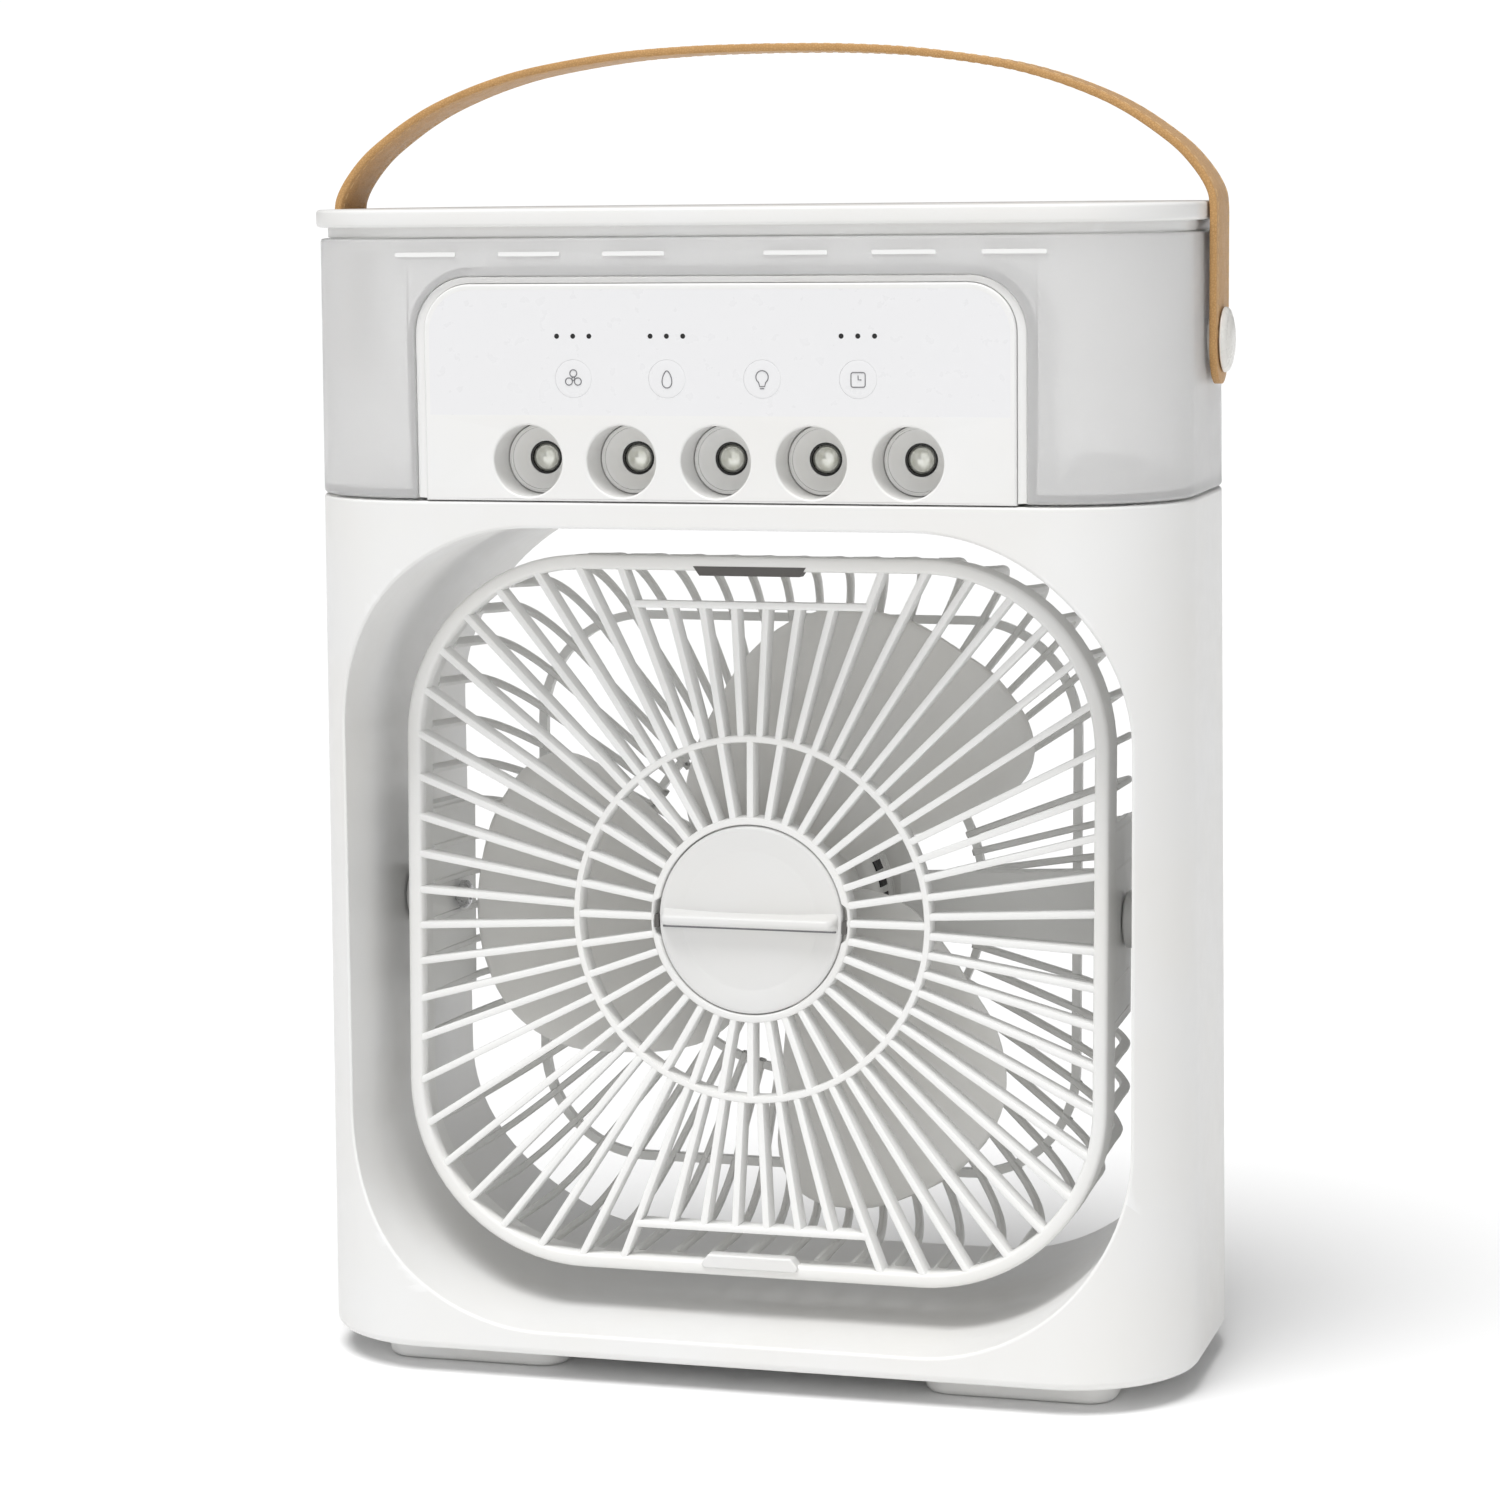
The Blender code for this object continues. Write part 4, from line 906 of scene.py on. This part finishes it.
def bar(p, q, width, front, back):
    """A deep thin bar between two (x, z) points, its front edge crowned and its back thinner."""
    p, q = Vector((p[0], 0, p[1])), Vector((q[0], 0, q[1]))
    side = (q - p).normalized().cross(Vector((0, 1, 0)))
    w, taper, crown = width / 2, 0.25, 0.45
    left = [(-w + taper, back), (-w, front + crown), (-w * 0.86, front + crown * 0.42),
            (-w * 0.5, front + 0.08)]
    shape = left + [(0, front)] + [(-u, y) for u, y in reversed(left)]
    up = Vector((0, 0, HEAD_Z))
    return loft([[end + side * u + Vector((0, y, 0)) + up for u, y in shape] for end in (p, q)])


def build_grille():
    ring = [(-23.0, 0.25), (-26.2, 0.0), (-26.75, 0.3), (-27.0, 0.9), (-27.0, 2.6), (-26.8, 3.2),
            (-26.2, 3.55), (-23.4, 3.7), (-23.0, 3.5)]
    parts = [square_ring(ring, 44)]
    deep, front, width = -20.4, -26.85, 1.75
    bar_z, spoke_stop = 76.8, 21
    for i in range(60):
        a = 3 + 6 * i
        near = abs(a % 180 - 90)
        start = polar(44.4, a)
        if near < spoke_stop - 0.5:
            z = math.copysign(bar_z, math.sin(math.radians(a)))
            end = (z / math.tan(math.radians(a)), z)
        else:
            end = reach(a, HEAD_HALF - 3.1, HEAD_R - 3.1)
        parts.append(bar(start, end, width, front, deep))
    for i in range(36):
        parts.append(bar(polar(24.4, 10 * i), polar(44.4, 10 * i), width, front, deep))
    reach_x = bar_z / math.tan(math.radians(90 - spoke_stop))
    for z in (bar_z, -bar_z):
        parts.append(bar((-reach_x, z), (reach_x, z), 1.8, front - 0.1, deep))
    middle = [(deep, 43.8), (-26.3, 43.5), (-26.85, 43.75), (-27.0, 44.4), (-26.85, 45.05), (-26.3, 45.3),
              (deep, 45.0)]
    parts.append(round_ring(middle, 120))
    hub = []
    for i in range(120):
        a = 3.0 * i
        near = min(a % 180, 180 - a % 180)
        inner = 24.5 if near < 10.6 else 23.45
        rad = math.radians(a)
        section = [(deep, inner), (-26.7, inner), (-27.0, inner + 0.25), (-27.0, 24.9), (-26.85, 25.15),
                   (-26.4, 25.3), (deep, 25.3)]
        hub.append([(r * math.cos(rad), y, HEAD_Z + r * math.sin(rad)) for y, r in section])
    parts.append(loft(hub, caps=False, closed=True))
    # Painted shade: a dark sheet on the ring's face at the top hook's notch, where the gap shows dark.
    slot_shade = [(-14.2, 86.2), (-12.6, 83.9), (12.6, 83.9), (14.2, 86.2)]
    piece("grille_notch_shade", head_prism(slot_shade, -27.06, -23.4), "slot_shade", "grille")
    piece("grille", merged(*parts), "grille", "grille", "front_grille", smooth=42)

    cap = [(0, -0.75), (8, -0.68), (16.9, -0.36), (17.15, -0.29), (17.4, -0.33), (22.0, -0.1),
           (22.8, 0.15), (23.1, 0.6), (23.1, 3.4), (0, 3.4)]
    disc = turned(cap, (0, 1, 0), (0, -27.0, HEAD_Z), 96)
    rows = []
    for y, w, h in ((-26.8, 22.3, 2.7), (-27.6, 22.25, 1.9), (-28.6, 22.1, 1.45), (-30.4, 21.7, 1.25),
                    (-31.2, 21.3, 1.05), (-31.6, 20.6, 0.6)):
        rows.append([(x, y, HEAD_Z + z) for x, z in round_rect(-w, -h, w, h, min(h * 0.95, 1.2), 5)])
    piece("cap", merged(disc, loft(rows)), "cap", "cap", "hub_cap", smooth=42)
    # Painted shadow: a thin dark strip under the finger bar stands for the bar's shadow on the cap.
    line = round_rect(-21.9, -2.25, 21.9, -1.8, 0.15, 3)
    piece("cap_bar_painted_shadow", head_prism(line, -27.74, -27.2), "ink_and_painted_shadow", "cap")
    # Painted shade: dark blocks fill the gaps between the cap's ends and the hub ring's notches.
    ends = [head_prism(round_rect(x0, -2.6, x0 + 1.1, 0.6, 0.2, 3), -26.9, -24.0) for x0 in (-24.35, 23.25)]
    piece("cap_gap_shade", merged(*ends), "slot_shade", "grille")

    clip = [(-11.8, -86.7), (11.8, -86.7), (12.4, -85.6), (10.6, -83.2), (-10.6, -83.2), (-12.4, -85.6)]
    piece("latch", head_prism(clip, -28.0, -23.4), "cap", "latch", "grille_latch", bevel=0.45, segments=3)


def rib(degrees, path, depth=2.6):
    """A cage rib along a path at one angle, its depth towards the inside of the head."""
    dx, dz = polar(1, degrees)
    across, centre = Vector((-dz, 0, dx)), Vector((0, -5, HEAD_Z))
    w = 0.85
    shape = [(-w, 0.5), (-w * 0.7, 0.1), (0, 0), (w * 0.7, 0.1), (w, 0.5), (w, depth - 0.5),
             (w * 0.6, depth - 0.06), (-w * 0.6, depth - 0.06), (-w, depth - 0.5)]
    rows = []
    for j, p in enumerate(path):
        along = (path[min(j + 1, len(path) - 1)] - path[max(j - 1, 0)]).normalized()
        inward = along.cross(across)
        if inward.dot(centre - p) < 0:
            inward = -inward
        rows.append([p + across * x + inward * y for x, y in shape])
    return loft(rows)


def build_cage():
    half = HEAD_HALF - 0.3
    square = [(-15.0, 0.0), (0.0, 0.8), (12.0, 1.5), (18.5, 4.0), (22.5, 7.2), (25.4, 11.8), (27.0, 17.3),
              (27.5, 19.1)]
    rear_y, rounds = 27.5, (47.5, 45.6, 29.5)
    parts = []
    for i in range(60):
        a = 3 + 6 * i
        knots = [(*reach(a, half - inset, HEAD_R - inset), y) for y, inset in square]
        knots += [(*polar(r, a), rear_y) for r in (rounds if i % 5 == 0 else rounds[:2])]
        parts.append(rib(a, smooth_path([(x, y, z + HEAD_Z) for x, z, y in knots], 3)))
    band = [(-22.7, 0.3), (-22.7, 2.5), (-15.2, 2.5), (-15.0, 2.2), (-15.0, 0.6), (-15.3, 0.3)]
    parts.append(square_ring(band))
    for up in (0, 180):
        rows = []
        for k in range(17):
            a = up - 16 + 2 * k
            outline = []
            for y, inset in ((-16.0, 0.3), (12.6, 1.8), (12.6, 3.8), (-16.0, 2.5)):
                x, z = reach(a, HEAD_HALF - inset, HEAD_R - inset)
                outline.append((x, y, z + HEAD_Z))
            rows.append(outline)
        parts.append(loft(rows))
    parts.append(square_ring([(27.5, 17.1), (25.3, 17.0), (25.2, 19.2), (27.4, 19.3)]))
    parts.append(round_ring([(27.5, 47.5), (27.5, 45.6), (25.3, 45.6), (25.3, 47.5)]))
    motor_plate = [(0, 25.6), (28.6, 25.6), (29.5, 26.2), (29.5, 27.2), (29.1, 27.5), (20.5, 27.5),
                   (20.0, 27.1), (0, 27.1)]
    parts.append(head_turned(motor_plate, 72))
    piece("cage", merged(*parts), "cage", "head", "rear_cage", smooth=42)
    screw = [(0, 27.0), (2.6, 27.0), (2.6, 27.8), (2.0, 28.2), (0, 28.3)]
    for a in (30, 150, 270):
        x, z = polar(16, a)
        head = turned(screw, (0, 1, 0), (x, 0, HEAD_Z + z), 24)
        piece(f"motor_screw_{a}", head, "steel", "head")


def build_pivots():
    pin = [(0, 94.0), (2.1, 94.0), (2.1, 88.4), (2.6, 88.1), (6.5, 88.1), (7.0, 88.5), (7.0, 96.2),
           (6.6, 96.6), (4.0, 96.6), (4.0, 103.2), (0, 103.2)]
    screw = [(0, 82.3), (1.3, 82.3), (1.5, 81.6), (2.6, 81.8), (3.6, 82.7), (3.6, 84.0), (1.8, 84.0),
             (1.8, 93.4), (0, 93.4)]
    for name, s in (("left", -1), ("right", 1)):
        out = (s, 0, 0)
        piece(f"pivot_pin_{name}", head_turned(pin, 48, out), "pom", "head", f"pivot_{name}")
        keep_node(f"pivot_nut_{name}", "pom")
        piece(f"pivot_bolt_{name}", head_turned(screw, 32, out), "steel", "head", f"pivot_screw_{name}")


def build_motor():
    can = [(0, 7.6), (9, 7.6), (9.4, 7.9), (21.3, 7.9), (22.4, 8.2), (23.4, 9.2), (23.8, 10.4)]
    fins = []
    for k in range(8):
        y = 11.0 + 1.6 * k
        fins += [(24.0, y), (24.0, y + 0.9), (23.2, y + 1.05), (23.2, y + 1.45)]
    can += fins + [(24.0, 24.0), (23.5, 24.6), (0, 24.6)]
    piece("motor", head_turned(can, 64), "cover", "head", "motor_can")
    # Painted shade: dark patches on the can stand for its vent slots, which show the dark inside.
    slots = []
    for k in range(36):
        ends = ((23.0, 0), (24.08, 0), (24.08, 6), (23.0, 6))
        slots.append(head_prism([polar(r, 10 * k + turn) for r, turn in ends], 10.2, 16.6))
    piece("motor_slot_shade", merged(*slots), "motor", "head")
    rows = []
    for z, inset in ((-7.4, 0.5), (-6.9, 0.0), (6.9, 0.0), (7.4, 0.5)):
        outline = [(27.0, 17.2 + inset), (76.2, 17.2 + inset), (78.0, 18.8), (77.6, 20.2),
                   (76.0, 20.6 - inset), (27.0, 20.6 - inset)]
        rows.append([(x, y, HEAD_Z + z * (1 + (x - 27) * 0.006)) for x, y in outline])
    piece("wire_cover", loft(rows), "cover", "head", "cable_cover", smooth=35)


BLADE_EDGES = ((17.0, 34, 140), (27.0, 31, 134), (36.0, 29, 125), (45.0, 27.5, 113), (55.0, 27, 102),
               (63.0, 27, 95.5), (70.0, 29, 88.5), (75.0, 33, 81.5), (78.0, 39, 73.5), (79.5, 48, 63))


def blade_sheet(turn):
    """One blade's middle surface, as rows of points, turned round the hub in degrees."""
    across = 20
    grid = []
    for j in range(across + 1):
        f = j / across
        line = []
        for r, a0, a1 in BLADE_EDGES:
            rear = 4.0 + 7.0 * min(1.0, (r - 17) / 38)
            a = a0 + (a1 - a0) * f
            outer_share = (a - 27) / 105 * 1.35
            part = min(1.0, max(0.0, (r - 42) / 16))
            share = f * (1 - part) + min(outer_share, 1.0) * part
            y = rear + (-12.5 - rear) * share - 1.5 * math.sin(math.pi * f)
            x, z = polar(r, a + turn)
            line.append((x, y, z + HEAD_Z))
        grid.append(smooth_path(line, 4))
    return grid


def blade(turn):
    """The sheet thickened both ways, thinner round its rim."""
    grid = blade_sheet(turn)
    n_j, n_k = len(grid), len(grid[0])
    cells = [(j, k) for j in range(n_j) for k in range(n_k)]
    normals = {}
    for j, k in cells:
        u = grid[min(j + 1, n_j - 1)][k] - grid[max(j - 1, 0)][k]
        v = grid[j][min(k + 1, n_k - 1)] - grid[j][max(k - 1, 0)]
        normals[j, k] = u.cross(v).normalized()
    verts, faces = [], []
    for side in (1, -1):
        for j, k in cells:
            half_t = 0.72 if min(j, n_j - 1 - j, n_k - 1 - k) > 0 else 0.25
            verts.append(tuple(grid[j][k] + normals[j, k] * half_t * side))
    layer = n_j * n_k
    for j in range(n_j - 1):
        for k in range(n_k - 1):
            q = [j * n_k + k, j * n_k + k + 1, (j + 1) * n_k + k + 1, (j + 1) * n_k + k]
            faces += [q, [layer + i for i in reversed(q)]]
    border = list(range(n_k)) + [j * n_k + n_k - 1 for j in range(1, n_j)]
    border += [(n_j - 1) * n_k + k for k in range(n_k - 2, -1, -1)]
    border += [j * n_k for j in range(n_j - 2, 0, -1)]
    for a, b in zip(border, border[1:] + border[:1]):
        faces.append([a, b, layer + b, layer + a])
    return verts, faces


def build_rotor():
    hub = [(2.3, -15.0), (14.6, -15.0), (16.4, -14.8), (17.8, -14.2), (18.7, -13.2), (19.3, -11.6),
           (19.6, -10.0), (20.2, 6.2), (19.9, 6.6), (2.3, 6.6)]
    rotor = merged(head_turned(hub, 72), *[blade(120 * k) for k in range(3)])
    piece("rotor", rotor, "blade", "rotor", "fan_rotor", smooth=45)
    shaft = [(0, -18.6), (1.7, -18.6), (2.0, -18.2), (2.0, 7.3), (0, 7.3)]
    piece("shaft", head_turned(shaft, 32), "steel", "rotor", "motor_shaft")
    nut = [(2.3, -18.2), (4.4, -18.2), (5.0, -17.9), (5.6, -17.1), (5.6, -15.3), (2.3, -15.3)]
    piece("nut", head_turned(nut, 36), "pom", "rotor", "spin_nut")


build_base()
build_console()
build_tank()
build_lid()
build_handle()
build_grille()
build_cage()
build_pivots()
build_motor()
build_rotor()


# ---- camera, floor, light, in metres
def build_camera():
    az, pitch, roll = map(math.radians, (16.03, 7.66, -0.63))
    back = Vector((math.sin(az) * math.cos(pitch), -math.cos(az) * math.cos(pitch), math.sin(pitch)))
    right = Vector((math.cos(az), math.sin(az), 0))
    up = back.cross(right)
    right, up = right * math.cos(roll) + up * math.sin(roll), up * math.cos(roll) - right * math.sin(roll)
    data = bpy.data.cameras.new("camera")
    data.sensor_width, data.lens = 36.0, 101.0904
    data.shift_x, data.shift_y = 0.00193333, -0.00213333
    data.clip_start, data.clip_end = 0.05, 50
    cam = placed("camera", data)
    basis = Matrix((right, up, back)).transposed().to_4x4()
    cam.matrix_world = Matrix.Translation((0.2792, -0.9993, 0.2905)) @ basis
    bpy.context.scene.camera = cam


def soft_sun(name, side, height, spread, strength):
    """A wide distant light: degrees to the side of straight ahead, degrees up, and degrees across."""
    side, height = math.radians(side), math.radians(height)
    level = math.cos(height)
    place = Vector((math.sin(side) * level, -math.cos(side) * level, math.sin(height)))
    data = bpy.data.lights.new(name, "SUN")
    data.energy, data.angle = strength, math.radians(spread)
    light = placed(name, data)
    light.location = place
    light.rotation_mode = "QUATERNION"
    light.rotation_quaternion = (-place).to_track_quat("-Z", "Y")


def build_studio():
    mesh = bpy.data.meshes.new("floor")
    size = 30.0
    corners = [(-size, -size, 0), (size, -size, 0), (size, size, 0), (-size, size, 0)]
    mesh.from_pydata(corners, [], [(0, 1, 2, 3)])
    floor = placed("floor", mesh)
    floor_mat, _ = shader("studio_floor", Base_Color=(0.9, 0.9, 0.9), Roughness=0.9)
    mesh.materials.append(floor_mat)
    world = bpy.data.worlds.new("studio")
    world.use_nodes = True
    nodes, links = world.node_tree.nodes, world.node_tree.links
    plain, seen = nodes["Background"], nodes.new("ShaderNodeBackground")
    for background, strength in ((plain, 0.37), (seen, 1.05)):
        background.inputs["Color"].default_value = (1, 1, 1, 1)
        background.inputs["Strength"].default_value = strength
    path, mix = nodes.new("ShaderNodeLightPath"), nodes.new("ShaderNodeMixShader")
    links.new(path.outputs["Is Camera Ray"], mix.inputs[0])
    links.new(plain.outputs[0], mix.inputs[1])
    links.new(seen.outputs[0], mix.inputs[2])
    links.new(mix.outputs[0], nodes["World Output"].inputs["Surface"])
    bpy.context.scene.world = world
    soft_sun("key", -15, 71, 34, 2.6)
    soft_sun("fill", 20, 16, 70, 0.6)
    bpy.context.scene.view_settings.view_transform = "Standard"
    bpy.context.scene.view_settings.look = "None"


build_camera()
build_studio()
